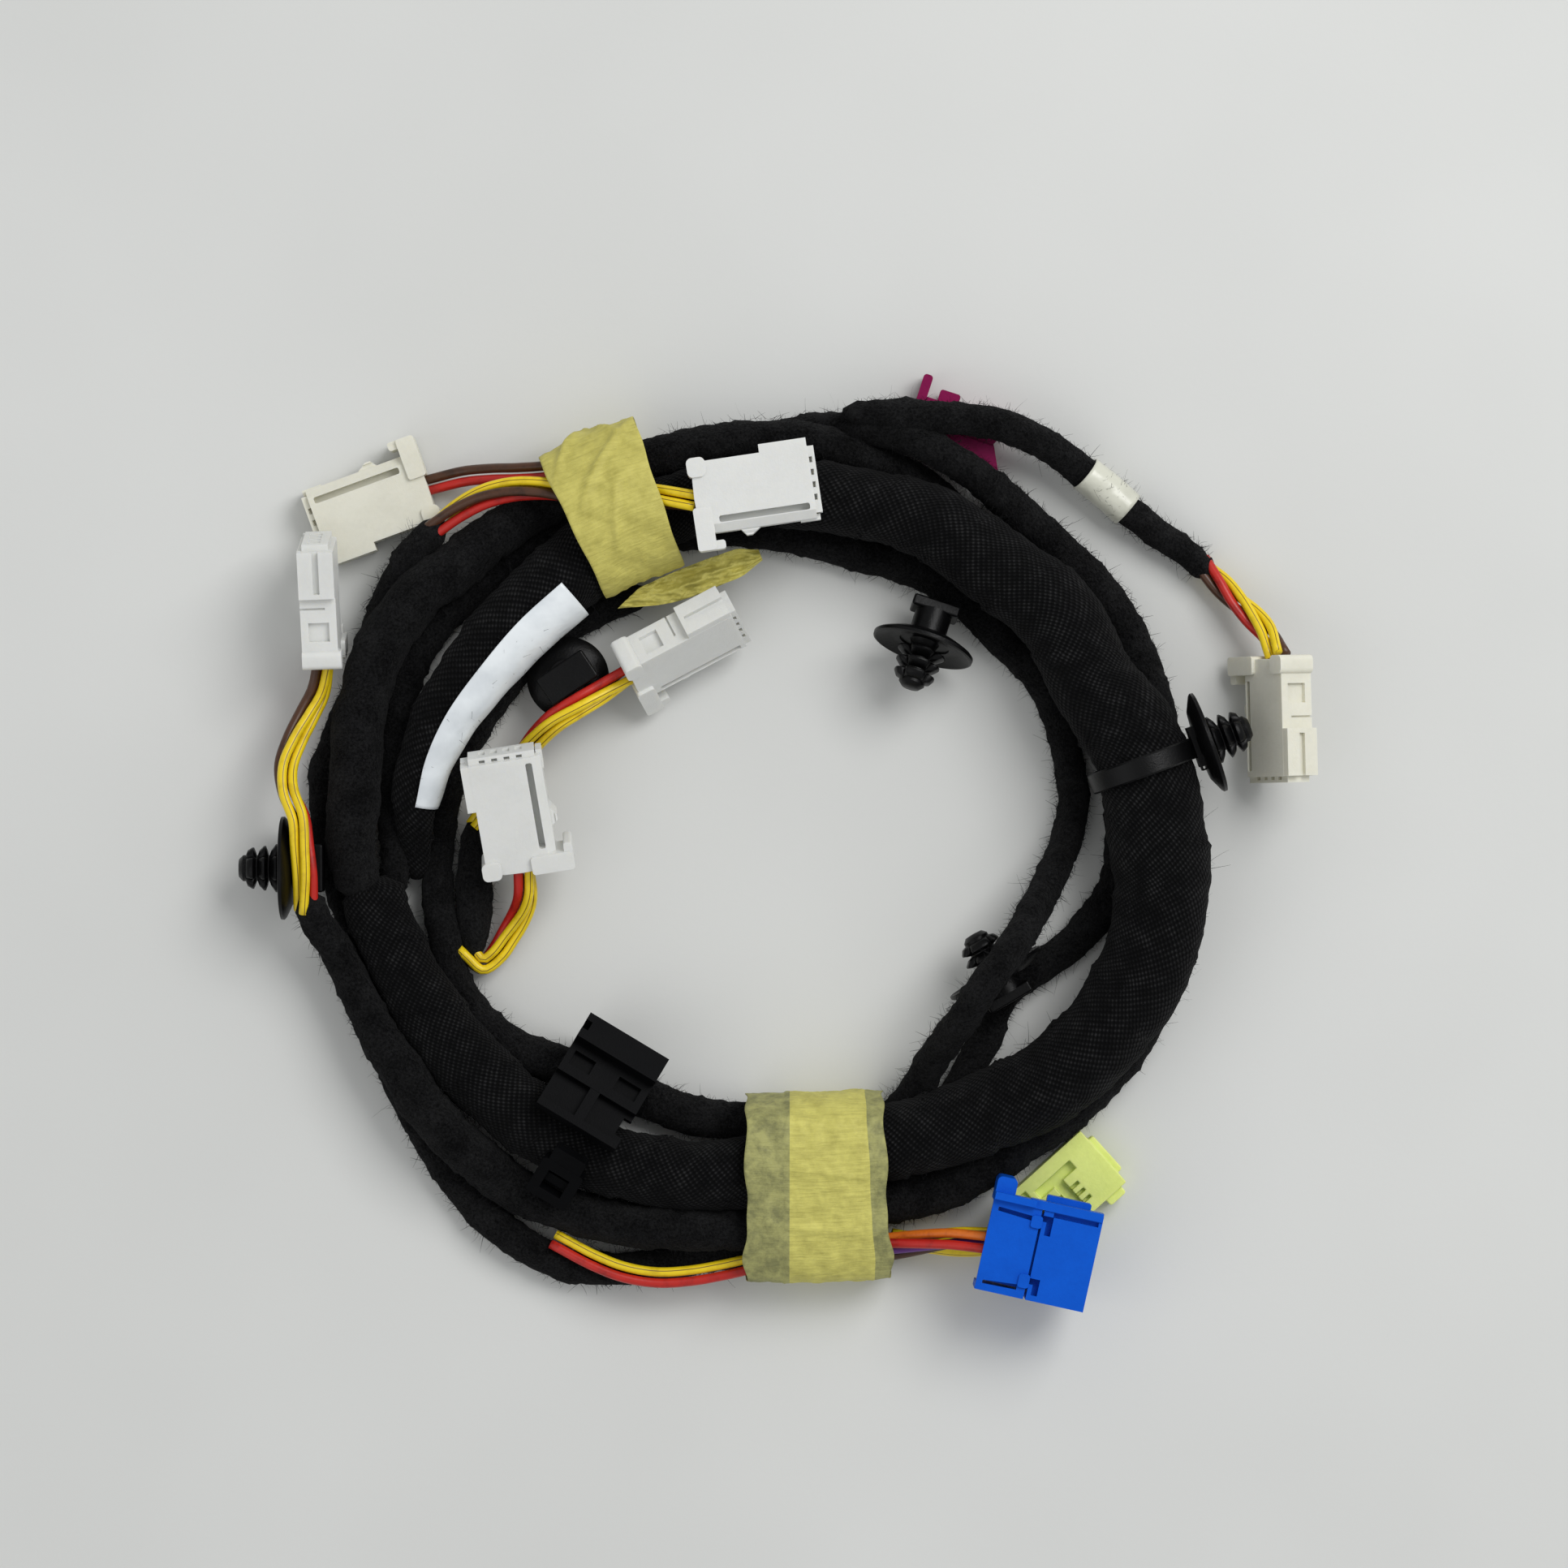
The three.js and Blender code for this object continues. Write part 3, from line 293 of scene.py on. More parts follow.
NYLON = moulded("black_nylon", (0.0028, 0.0028, 0.003), (0.0016, 0.0016, 0.0018), 0.34, 0.0, 0.08, 0.16)
CHANNEL_TONES = (0.0024, 0.0025, 0.003), (0.0014, 0.0015, 0.0018)
CHANNEL = moulded("channel_nylon", *CHANNEL_TONES, 0.5, 0.0, 0.06, 0.05)
MASKING = crepe("masking_tape", (0.43, 0.39, 0.085), (0.66, 0.61, 0.15), (6.3, 18.0))
MASKING_TOP = crepe("masking_tape_top", (0.4, 0.355, 0.07), (0.6, 0.54, 0.13), (-5.0, 60.0))
# The flag label's blue-grey low tone is painted shade, spread in random clouds over the white film
PAPER = paper("label_film", (0.66, 0.7, 0.73), (0.84, 0.88, 0.9))
SLEEVE = paper("sleeve_film", (0.5, 0.5, 0.42), (0.66, 0.66, 0.56))
JACKETS = {
    "red": jacket("wire_red", (0.5, 0.018, 0.012), (0.3, 0.012, 0.01)),
    "yellow": jacket("wire_yellow", (0.85, 0.62, 0.012), (0.68, 0.47, 0.01), (0.2, 0.12, 0.012)),
    "brown": jacket("wire_brown", (0.075, 0.03, 0.014), (0.035, 0.016, 0.009)),
    "violet": jacket("wire_violet", (0.14, 0.03, 0.24), (0.09, 0.02, 0.15)),
    "orange": jacket("wire_orange", (0.72, 0.17, 0.015), (0.5, 0.1, 0.01)),
    "sleeve": jacket("lead_sleeve", (0.008, 0.0075, 0.007), (0.004, 0.004, 0.0035)),
}


# Curves and tubes
def spline(route, step):
    """Points every step mm on a centripetal curve through the route, radius included."""
    route = np.asarray(route, float)
    ends = np.vstack([2 * route[0] - route[1], route, 2 * route[-1] - route[-2]])
    dense = [route[0]]
    for i in range(1, len(ends) - 2):
        p0, p1, p2, p3 = ends[i - 1 : i + 3]
        legs = [np.linalg.norm((b - a)[:3]) ** 0.5 for a, b in ((p0, p1), (p1, p2), (p2, p3))]
        t = np.cumsum([0] + legs)
        count = max(2, int(np.linalg.norm((p2 - p1)[:3]) / 0.25))
        for x in np.linspace(t[1], t[2], count + 1)[1:]:
            a1 = (t[1] - x) / (t[1] - t[0]) * p0 + (x - t[0]) / (t[1] - t[0]) * p1
            a2 = (t[2] - x) / (t[2] - t[1]) * p1 + (x - t[1]) / (t[2] - t[1]) * p2
            a3 = (t[3] - x) / (t[3] - t[2]) * p2 + (x - t[2]) / (t[3] - t[2]) * p3
            b1 = (t[2] - x) / (t[2] - t[0]) * a1 + (x - t[0]) / (t[2] - t[0]) * a2
            b2 = (t[3] - x) / (t[3] - t[1]) * a2 + (x - t[1]) / (t[3] - t[1]) * a3
            dense.append((t[2] - x) / (t[2] - t[1]) * b1 + (x - t[1]) / (t[2] - t[1]) * b2)
    dense = np.array(dense)
    return spaced(dense, step)


def lengths(points):
    return np.concatenate([[0], np.cumsum(np.linalg.norm(np.diff(points[:, :3], axis=0), axis=1))])


def spaced(points, step=None, count=None):
    along = lengths(points)
    count = count or max(2, int(round(along[-1] / step))) + 1
    at = np.linspace(0, along[-1], count)
    return np.column_stack([np.interp(at, along, points[:, k]) for k in range(points.shape[1])])


def longer(points, extra):
    """The same points, carried straight on at both ends, where a wire goes into something."""
    first = points[0] + (points[0] - points[1]) * extra / np.linalg.norm((points[0] - points[1])[:3])
    last = points[-1] + (points[-1] - points[-2]) * extra / np.linalg.norm((points[-1] - points[-2])[:3])
    return np.vstack([first, points, last])


def frames(points):
    """Tangent, level side and up at each point."""
    tangent = np.gradient(points[:, :3], axis=0)
    tangent /= np.linalg.norm(tangent, axis=1)[:, None]
    side = np.cross([0, 0, 1.0], tangent)
    side /= np.linalg.norm(side, axis=1)[:, None]
    return tangent, side, np.cross(tangent, side)


def mesh_object(name, points, faces, material, uvs=None, smooth=True):
    mesh = bpy.data.meshes.new(name)
    mesh.from_pydata([tuple(p) for p in points], [], [tuple(f) for f in faces])
    mesh.materials.append(material)
    if smooth:
        smooth_faces(mesh)
    if uvs is not None:
        layer = mesh.uv_layers.new(name="laid")
        corners = np.zeros(len(mesh.loops), np.int32)
        mesh.loops.foreach_get("vertex_index", corners)
        layer.data.foreach_set("uv", np.asarray(uvs, np.float32)[corners].ravel())
    return linked(name, mesh)


def laid(along, across):
    """Texture places of a grid of points, in metres along and across the material."""
    u, v = np.broadcast_arrays(along, across)
    return np.column_stack([u.ravel() * MM, v.ravel() * MM])


def grid_faces(rows, columns, closed=True):
    faces = []
    wide = columns if closed else columns - 1
    for row in range(0, (rows - 1) * columns, columns):
        for j in range(wide):
            k = (j + 1) % columns
            faces.append((row + j, row + k, row + columns + k, row + columns + j))
    return faces


def waves(along, around, seed, sizes, turns=3):
    """Smooth unevenness of a surface: sines with seeded phases, about 1 high."""
    own = np.random.default_rng(seed)
    total = np.zeros(np.broadcast(along, around).shape)
    for size in sizes:
        for _ in range(4):
            k = own.integers(-turns, turns + 1)
            stretch = own.uniform(0.7, 1.4)
            start = own.uniform(0, 2 * np.pi)
            total += np.sin(2 * np.pi * along / (size * stretch) + k * around + start)
    return total / (2 * math.sqrt(len(sizes)) * 1.4)


# Soft pieces rest on the floor and flatten there, mm
FLOOR_CLEAR = 0.02


def tube(name, points, material, sides, shape=None):
    """A closed tube. shape(along, around, radius) gives the surface's distance from the middle."""
    _, side, up = frames(points)
    along = lengths(points)[:, None]
    around = (2 * np.pi * np.arange(sides) / sides)[None, :]
    radius = np.repeat(points[:, 3:4], sides, axis=1)
    if shape:
        radius = shape(along, around, radius)
    ring = np.cos(around)[..., None] * side[:, None, :] + np.sin(around)[..., None] * up[:, None, :]
    surface = points[:, None, :3] + radius[..., None] * ring
    surface[..., 2] = np.maximum(surface[..., 2], FLOOR_CLEAR)
    count = len(points)
    vertices = np.vstack([surface.reshape(-1, 3), points[[0, -1], :3]])
    faces = grid_faces(count, sides)
    last = (count - 1) * sides
    for j in range(sides):
        k = (j + 1) % sides
        faces.append((count * sides, k, j))
        faces.append((count * sides + 1, last + j, last + k))
    uvs = np.vstack([laid(along, around * points[:, 3:4]), [[0, 0], [along[-1, 0] * MM, 0]]])
    return mesh_object(name, metres(vertices), faces, material, uvs)


# Routes of the taped strands, close to those in the part's source: x, y, z and radius
TRUNK_ROUTE = [
    (-50, -2, 4, 1.8), (-50, 7, 7.5, 3), (-48.5, 13.5, 8.5, 3.8), (-45.5, 20, 9.5, 4.4),
    (-40.5, 27, 10, 5), (-35, 33.5, 10, 5.5), (-29, 39, 9.7, 5.7), (-21, 45.5, 9.3, 5.5),
    (-12, 50, 8.5, 5.2), (-3, 52, 8.4, 5.1), (7.5, 51.5, 9, 5.2), (17, 50, 9, 5.3), (25, 47.5, 9.2, 5.6),
    (34.5, 41, 9.7, 5.9), (43, 34, 10.5, 6), (48.5, 24, 11.5, 6.2), (53.5, 17, 13.1, 6.5),
    (56, 10, 13.8, 6.6), (57.3, 2, 13.4, 6.9), (58, -4, 12.8, 6.7), (57, -12, 12.5, 6.4),
    (54.3, -19.3, 11.8, 6.3), (48.4, -27.4, 11, 6.2), (40.8, -34, 9.8, 6.1), (32, -38, 9, 6),
    (25, -40.5, 8.8, 5.8), (12, -43.5, 8.6, 5.5), (1.5, -46, 8.2, 5.4), (-10, -47, 7.6, 5.3),
    (-17, -46, 7.2, 5.2), (-24, -44, 7, 5.1), (-30, -41, 6.8, 5.2), (-37, -36, 6.5, 5.3),
    (-43, -30, 6.2, 5.2), (-48.5, -23, 6, 4.9), (-52, -16.5, 6, 4.6), (-55, -10, 6, 4.5),
    (-56.2, -6, 6.2, 4.4),
]

LONG_ROUTE = [
    (-58.3, -4.6, 7.4, 3), (-59.3, 0, 8, 3.4), (-59, 6, 8, 3.6), (-58.6, 11.5, 8, 3.7),
    (-58.4, 17.5, 8, 3.7), (-57, 23.5, 8, 3.6), (-55, 29.5, 8, 3.6), (-52, 34, 8, 3.6),
    (-48.5, 38, 7.8, 3.5), (-44, 41.5, 7.5, 3.5), (-39.5, 45.2, 7.4, 3.4), (-34.5, 48.5, 7.2, 3.2),
    (-29, 51.2, 7.2, 3), (-20.5, 55.6, 7.2, 2.9), (-12.5, 58, 7.3, 2.8), (-6.5, 59.3, 7.2, 2.8),
    (1.5, 60, 7, 2.8), (9, 59.3, 6.5, 2.8), (17, 56.8, 5, 2.7), (24, 53, 3, 2.6), (30, 48, 2.7, 2.6),
    (34, 44, 2.7, 2.6), (40.5, 37, 2.7, 2.6), (46, 29.5, 2.7, 2.6), (50, 20.5, 2.7, 2.6),
    (52.3, 11, 2.7, 2.6), (53, 2, 2.6, 2.5), (51.8, -5, 2.5, 2.4), (49, -9.5, 2.5, 2.4),
    (46.5, -12.5, 2.5, 2.4), (41.5, -16.5, 2.5, 2.3), (37, -19.5, 2.5, 2.3), (34.5, -22.5, 2.5, 2.3),
    (33.2, -26.5, 2.5, 2.3), (31.5, -30, 2.5, 2.2), (29.6, -33.3, 2.5, 2.2), (27.6, -36.2, 2.5, 2.1),
]

OUTER_ROUTE = [
    (-53.4, -5, 4.4, 2.2), (-53, 0, 4.2, 2.3), (-53.2, 6, 4, 2.3), (-53.2, 11.5, 4, 2.3),
    (-52.8, 17.5, 4, 2.3), (-51.8, 23.5, 4, 2.3), (-49.5, 29.3, 4, 2.3), (-46, 34, 4, 2.3),
    (-40.7, 39, 3.5, 2.3), (-35, 43, 3.2, 2.3), (-29, 47, 3.4, 2.3), (-20.5, 52.2, 3.4, 2.4),
    (-12.5, 56, 3.4, 2.4), (-5, 58.5, 2.7, 2.4), (3, 60.5, 2.6, 2.4), (10, 61.5, 3.6, 2.5),
    (17, 61.3, 7.2, 2.5), (24, 59, 8.2, 2.6), (30, 55.5, 7.6, 2.6), (36.7, 50.3, 4.8, 2.7),
    (42, 45.5, 3, 2.7), (47, 41, 2.8, 2.7), (51.3, 36, 2.8, 2.7), (54.6, 30, 2.8, 2.7),
    (56.6, 24.5, 2.8, 2.7), (58, 19, 2.8, 2.7), (59.5, 10, 2.9, 2.8), (60.2, 0, 3, 2.9),
    (60, -8.5, 3.1, 3), (58.3, -18, 3.2, 3.1), (54.5, -26.5, 3.3, 3.2), (48.5, -34, 3.4, 3.3),
    (43, -38.9, 3.5, 3.4), (37, -43, 3.6, 3.4), (31, -46.6, 3.6, 3.5), (25, -49.2, 3.7, 3.5),
    (12, -52.4, 5, 3.3), (1.5, -54.6, 6.5, 3.1), (-10, -54.8, 7, 3.2), (-18.5, -54.3, 6.2, 3.4),
    (-26.3, -52.6, 4.6, 3.4), (-33.3, -50.3, 4.2, 3.2), (-39, -46.6, 5.5, 3.4), (-43.1, -42.8, 6.8, 3.5),
    (-48, -37.8, 7.5, 3.4), (-51.7, -32, 7.6, 3.1), (-55.7, -25.9, 7.6, 2.8), (-58.8, -19.5, 7.2, 2.5),
    (-61.6, -14, 7.6, 2.4), (-63.8, -10.6, 9, 2.3), (-65.1, -7.8, 10.4, 2.2),
]

LEFT_ROUTE = [
    (6, -57.5, 3.3, 2.3), (-2, -58.3, 3.2, 2.4), (-10, -59.5, 2.5, 2.4), (-18.5, -60.8, 2.5, 2.4),
    (-28, -60.4, 2.5, 2.4), (-33.5, -57.8, 2.5, 2.4), (-38.5, -54.5, 2.5, 2.4), (-42.5, -50.5, 2.5, 2.4),
    (-45.8, -46, 2.5, 2.4), (-49, -40.7, 2.5, 2.4), (-51.6, -35.5, 2.5, 2.4), (-54, -29.5, 2.5, 2.4),
    (-56, -22.5, 2.5, 2.4), (-58, -15.5, 2.5, 2.4), (-60, -8.5, 2.5, 2.4), (-62, -1.3, 2.5, 2.4),
    (-63.3, 6, 2.5, 2.4), (-63.3, 11.6, 2.5, 2.4), (-61.8, 15.5, 2.5, 2.4), (-59.7, 21, 2.6, 2.4),
    (-56.9, 27, 3, 2.4), (-55.5, 33, 3.6, 2.4), (-53.4, 38.5, 4.6, 2.4), (-50.5, 43, 6.4, 2.4),
    (-47.3, 46.4, 8, 2.2),
]

INNER_ROUTE = [
    (-18, 37, 2.6, 2), (-22, 35.6, 2.4, 2.1), (-26.5, 33.5, 2.4, 2.2), (-31, 30.5, 2.4, 2.2),
    (-36, 25.5, 2.4, 2.2), (-40.3, 19.5, 2.4, 2.2), (-44, 12.8, 2.4, 2.1), (-46, 6.5, 2.6, 2.1),
    (-46.6, 0, 2.8, 2.1), (-47, -6, 3, 2.3), (-46, -12, 2.9, 2.5), (-44.8, -19, 2.8, 2.7),
    (-42, -23.6, 2.9, 2.8), (-38.3, -27.2, 2.9, 2.8), (-33.5, -29.8, 2.9, 2.8), (-29.5, -31.1, 2.9, 2.8),
    (-23, -33.6, 2.9, 2.8), (-16, -36.3, 2.9, 2.8), (-10, -38.4, 2.9, 2.8), (-2.7, -39.4, 3.5, 2.6),
    (7.5, -39.4, 3.6, 2.6), (15, -39.4, 3.6, 2.5), (19.5, -38.4, 4, 2.5), (22.5, -34.8, 5.4, 2.4),
    (25.2, -30, 8.6, 2.4), (29.3, -23.8, 14.6, 2.4), (33, -18.2, 18.1, 2.4), (36.6, -13.2, 17, 2.4),
    (40.6, -6.5, 10.4, 2.4), (44, 0, 5.4, 2.4), (45.6, 6, 3, 2.4), (45.3, 11.6, 2.5, 2.3),
    (44.2, 17, 2.5, 2.3), (42.5, 22, 2.5, 2.3), (39.3, 26.7, 2.5, 2.3), (35.5, 30.5, 2.5, 2.3),
    (32, 34, 2.5, 2.3), (26.5, 38.7, 2.5, 2.3), (20.5, 41.6, 2.5, 2.3), (14.5, 43.2, 2.5, 2.3),
    (7.5, 45.2, 2.6, 2.3), (1.5, 46.3, 2.6, 2.3), (-4.2, 46.8, 2.5, 2.3), (-11.5, 46, 2.5, 2.3),
]

LABEL_BRANCH_ROUTE = [
    (14, 63.5, 8.6, 1.6), (19.5, 63.3, 9, 2.3), (25, 62.9, 8.9, 2.4), (31, 62.6, 8.4, 2.4),
    (36.5, 61.3, 7.6, 2.4), (41.5, 59, 5.8, 2.4), (46, 56, 4.6, 2.3), (50.3, 52.6, 3.8, 2.3),
    (54.5, 49, 3.2, 2.3), (58.5, 46, 2.8, 2.2), (62, 43.7, 2.5, 2.1), (64.7, 41.4, 2.4, 1.9),
]

STUB_ROUTE = [
    (-41.6, -13.9, 2.9, 1.5), (-41.6, -11, 2.9, 2.3), (-41.6, -6, 2.9, 2.6), (-41.9, -1.5, 2.7, 2.1),
    (-42, 2.2, 2.4, 1.6),
]

# Bundles of loose wires: names, turns of twist, and the route of the middle: x, y, z
PIGTAILS = {
    "upper_left": (("red", "brown", "yellow_1", "yellow_2"), 0.5, [
        (-46.8, 47, 8.4), (-43.5, 49.4, 10.2), (-39.5, 51.4, 11.6), (-35, 52.4, 12.2),
        (-31, 52.4, 12.7), (-26, 51.8, 13.4), (-20, 51.6, 14.5), (-16.5, 51.3, 15.2),
        (-13.2, 51, 16), (-10.3, 50.6, 17),
    ]),
    "top_left": (("red", "brown"), 0, [
        (-47.8, 53.5, 3), (-45.5, 54.2, 2.8), (-41, 54.8, 5), (-36, 54.8, 8.4), (-31, 55, 10.5),
        (-26, 55.7, 11.3), (-21, 57, 11.5),
    ]),
    "left": (("brown", "yellow_1", "yellow_2", "red"), 0.4, [
        (-63.3, 27.3, 8), (-63.5, 24.8, 7.4), (-64.8, 21.5, 7.4), (-67.2, 16.5, 9.2), (-68.6, 11, 11),
        (-67.4, 7, 12.3), (-66, 3.4, 12.7), (-66, 0, 12.7), (-65.6, -3.6, 12.4), (-65.6, -7.2, 11),
    ]),
    "centre": (("red", "yellow_1", "yellow_2", "brown"), 0.3, [
        (-34.2, -2.9, 8.5), (-34, -4.9, 7.7), (-34.4, -8, 5.2), (-36, -11.2, 3.2), (-37.8, -14, 2.6),
        (-39.4, -16.3, 2.4), (-41.3, -16.4, 2.5), (-42.5, -14.8, 2.7),
    ]),
    "middle_top": (("red", "yellow_1", "yellow_2", "brown"), 0.4, [
        (-19.9, 25.2, 7.8), (-21.7, 24.2, 7.8), (-24.2, 22.2, 9.2), (-28, 20.2, 9.2),
        (-31.5, 17.4, 7.2), (-34.4, 14, 4.4), (-36.4, 10.6, 2.6), (-38.4, 7.4, 2.3), (-40.6, 4.4, 2.3),
    ]),
    "right": (("brown", "red", "yellow_1", "yellow_2"), 0.6, [
        (65.1, 41, 2.5), (67.8, 38.2, 3.4), (70.6, 35.2, 4.5), (73, 32.7, 5.6), (74.4, 30.6, 7),
        (74.7, 29.4, 7.7),
    ]),
    "blue": (("brown", "violet", "red", "yellow", "orange"), 0.3, [
        (6.8, -56.8, 9.6), (12, -57.7, 7.6), (17, -57.4, 6.4), (21.5, -56.8, 6.6), (26, -56.2, 7.8),
        (29, -55.9, 9.2), (32.4, -56, 10.3),
    ]),
    "bottom": (("red", "yellow"), 0, [
        (-28.8, -57, 5.4), (-25, -59, 6), (-21, -60.7, 6.4), (-16, -61.8, 6.4), (-10, -61.6, 6.4),
        (-4.5, -60.6, 6.5), (0, -59.6, 6.7), (4.5, -59, 6.9),
    ]),
}

MAGENTA_LEAD_ROUTE = [
    (21.5, 63.4, 2.2), (18.5, 63.7, 1.9), (15.5, 63.1, 1.7), (12.8, 62.2, 1.7),
]

GREEN_LEAD_ROUTE = [
    (38.4, -54.8, 2.2), (36.2, -56.4, 2), (33, -57.6, 1.9), (29, -57.8, 1.9), (24.5, -57.3, 2),
    (20.5, -56.6, 2.4),
]

TOP_WRAP_ROUTE = [
    (-26.6, 45.8, 0), (-20, 49, 0), (-14.2, 51, 0),
]

TOP_WRAP_OUTLINE = [
    (-10, 9.5), (-9, 13), (-4, 17), (0, 18), (4, 17.8), (8.8, 15), (12, 11.5), (12.2, 8), (9.8, 3.5),
    (6, 0.9), (2, 0.55), (-4, 1.6), (-8, 4.8),
]

BOTTOM_WRAP_ROUTE = [
    (-2, -48.9, 0), (8, -48.9, 0), (18.4, -48.4, 0),
]

BOTTOM_WRAP_OUTLINE = [
    (-13.1, 4.5), (-12.8, 8.8), (-8, 12.2), (0, 14.2), (5, 15.4), (10, 14.8), (13.2, 9), (13.2, 3.6),
    (10.5, 0.6), (-10.5, 0.6), (-12.4, 1.6),
]

SLEEVE_LABEL_ROUTE = [
    (47.3, 55, 4.4, 2.3), (50.3, 52.6, 3.8, 2.3), (53.6, 49.8, 3.4, 2.3),
]

# Creases of the wraps: from and to (along, around) in mm, width and height
TOP_CREASES = [
    ((0.5, 22), (12, 40), 0.7, 0.8), ((2, 16), (13.5, 30), 0.6, 0.6), ((5, 36), (13, 22), 0.5, 0.55),
    ((1, 48), (13, 44), 0.8, 0.5), ((4, 8), (9, 20), 0.6, 0.5), ((8, 50), (12, 30), 0.5, 0.5),
]
BOTTOM_CREASES = [
    ((1, 14), (19, 12), 0.7, 0.35), ((1, 30), (19, 27), 0.8, 0.4), ((2, 40), (12, 44), 0.6, 0.35),
    ((9, 22), (19, 20), 0.5, 0.3), ((0.5, 50), (8, 47), 0.6, 0.5),
]

# name: (route, material, sides, pitch of the wound tape, height of its edge, unevenness, fibres per mm)
STRANDS = {
    "trunk": (TRUNK_ROUTE, WOVEN, 72, 13.0, 0.36, 0.04, 22),
    "branch_long": (LONG_ROUTE, FLEECE, 48, 9.0, 0.32, 0.06, 42),
    "branch_outer": (OUTER_ROUTE, FLEECE, 48, 9.5, 0.32, 0.06, 42),
    "branch_left": (LEFT_ROUTE, FLEECE, 40, 8.5, 0.28, 0.06, 42),
    "branch_inner": (INNER_ROUTE, FLEECE, 40, 8.0, 0.26, 0.06, 46),
    "branch_label": (LABEL_BRANCH_ROUTE, FLEECE, 40, 8.0, 0.26, 0.06, 46),
    "branch_stub": (STUB_ROUTE, FLEECE, 40, 6.0, 0.17, 0.06, 40),
}
STRAND_STEP = 0.7
STRAND_HIDDEN = 2.0  # how far a strand runs on past each end of its route
END_ROUND = 0.6
FLATNESS = 0.045  # share of the radius
FLATS_TURN = 26.0
RIPPLE = 0.11


def wound(seed, pitch, edge, uneven, total):
    """The shape of tape wound on a bundle: a helical edge, flats, lumps, and ends cut off."""

    def shape(along, around, radius):
        turn = (along / pitch + around / (2 * np.pi) + 0.13 * np.sin(along / 17 + seed)) % 1
        ridge = edge * np.exp(-turn / 0.12) - 0.35 * edge * np.exp(-(1 - turn) / 0.05)
        lumps = waves(along, around, seed, (34, 15, 7.5))
        ripple = waves(along, around, seed + 50, (3.4, 2.2), 5)
        flats = FLATNESS * np.cos(2 * around - along / FLATS_TURN + seed)
        ends = np.minimum(along, total - along)
        closing = np.sqrt(np.clip(1 - (1 - np.clip(ends / END_ROUND, 0, 1)) ** 2, 0.25, 1))
        return (radius * (1 + uneven * lumps + flats) + ridge + RIPPLE * ripple) * closing

    return shape


def fibres(name, obj_points, radius, amount, seed):
    """Loose fibres that stand off a fleece strand, as thin bent ribbons."""
    own = np.random.default_rng(seed)
    tangent, side, up = frames(obj_points)
    count = int(lengths(obj_points)[-1] * amount)
    at = own.integers(1, len(obj_points) - 1, count)
    angle = own.uniform(0, 2 * np.pi, count)
    out = np.cos(angle)[:, None] * side[at] + np.sin(angle)[:, None] * up[at]
    root = obj_points[at, :3] + out * (radius[at] * own.uniform(0.97, 1.02, count))[:, None]
    across = np.cross(tangent[at], out)
    lean = own.normal(0, 1, (count, 2))
    long = np.clip(own.gamma(1.6, 0.44, count), 0.15, 2.6)[:, None]
    way = out * own.uniform(0.25, 0.9, count)[:, None]
    way = way + tangent[at] * lean[:, :1] * 0.7 + across * lean[:, 1:] * 0.7
    way /= np.linalg.norm(way, axis=1)[:, None]
    curl = own.normal(0, 0.5, (count, 3))
    wide = np.cross(way, curl)
    wide /= np.linalg.norm(wide, axis=1)[:, None]
    thick = own.uniform(0.026, 0.048, count)[:, None]
    rows = []
    for t in (0.0, 0.4, 0.75, 1.0):
        middle = root + way * long * t + curl * long * t * t * 0.55
        middle[:, 2] = np.maximum(middle[:, 2], 0.06)
        taper = thick * (1 - 0.7 * t)
        rows.append(np.stack([middle - wide * taper, middle + wide * taper], axis=1))
    points = np.stack(rows, axis=1).reshape(-1, 3)
    base = np.arange(count)[:, None] * 8
    quads = np.array([[0, 1, 3, 2], [2, 3, 5, 4], [4, 5, 7, 6]])
    faces = (base[:, None, :] + quads[None]).reshape(-1, 4)
    return mesh_object(name, metres(points), faces.tolist(), FIBRE)


def follow(obj, slot, *nodes):
    """The piece rides on the harness and stands for its CAD nodes."""
    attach(obj, "root")
    if nodes:
        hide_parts(*nodes)


for seed, (name, facts) in enumerate(STRANDS.items()):
    route, material, sides, pitch, edge, uneven, hair = facts
    points = spline(route, STRAND_STEP)
    total = lengths(points)[-1]
    shape = wound(seed, pitch, edge, uneven, total + 2 * STRAND_HIDDEN)
    strand = tube(f"{name}_tape", longer(points, STRAND_HIDDEN), material, sides, shape)
    follow(strand, "fleece_tape", name)
    fuzz = fibres(f"{name}_fibres", points, points[:, 3], hair, seed + 20)
    follow(fuzz, "fleece_tape")


# Loose wires, beside each other and twisted as in the part's source
WIRE_D = 1.4
WIRE_PITCH = 1.6
COAX_D = 2.8
WIRE_SIDES = 14
WIRE_STEP = 0.8
WIRE_HIDDEN = 1.4
BUNDLE_PLACES = {
    2: [(-0.5, 0), (0.5, 0)],
    4: [(-0.5, 0.5), (0.5, 0.5), (0.5, -0.5), (-0.5, -0.5)],
    5: [(-1, 0.5), (0, 0.5), (1, 0.5), (-0.5, -0.5), (0.5, -0.5)],
}


def sized(route, diameter):
    route = np.asarray(route, float)
    return np.column_stack([route, np.full(len(route), diameter / 2)])


def bundle(route, count, turn):
    """The routes of the wires of one bundle."""
    middle = spline(sized(route, WIRE_D), 0.2)
    _, side, up = frames(middle)
    at = np.round(np.linspace(0, len(middle) - 1, len(route))).astype(int)
    routes = []
    for across, above in BUNDLE_PLACES[count]:
        twist = 2 * math.pi * turn * np.linspace(0, 1, len(route))
        a = WIRE_PITCH * (across * np.cos(twist) - above * np.sin(twist))
        b = WIRE_PITCH * (across * np.sin(twist) + above * np.cos(twist))
        moved = middle[at, :3] + a[:, None] * side[at] + b[:, None] * up[at]
        routes.append(sized(moved, WIRE_D))
    return routes


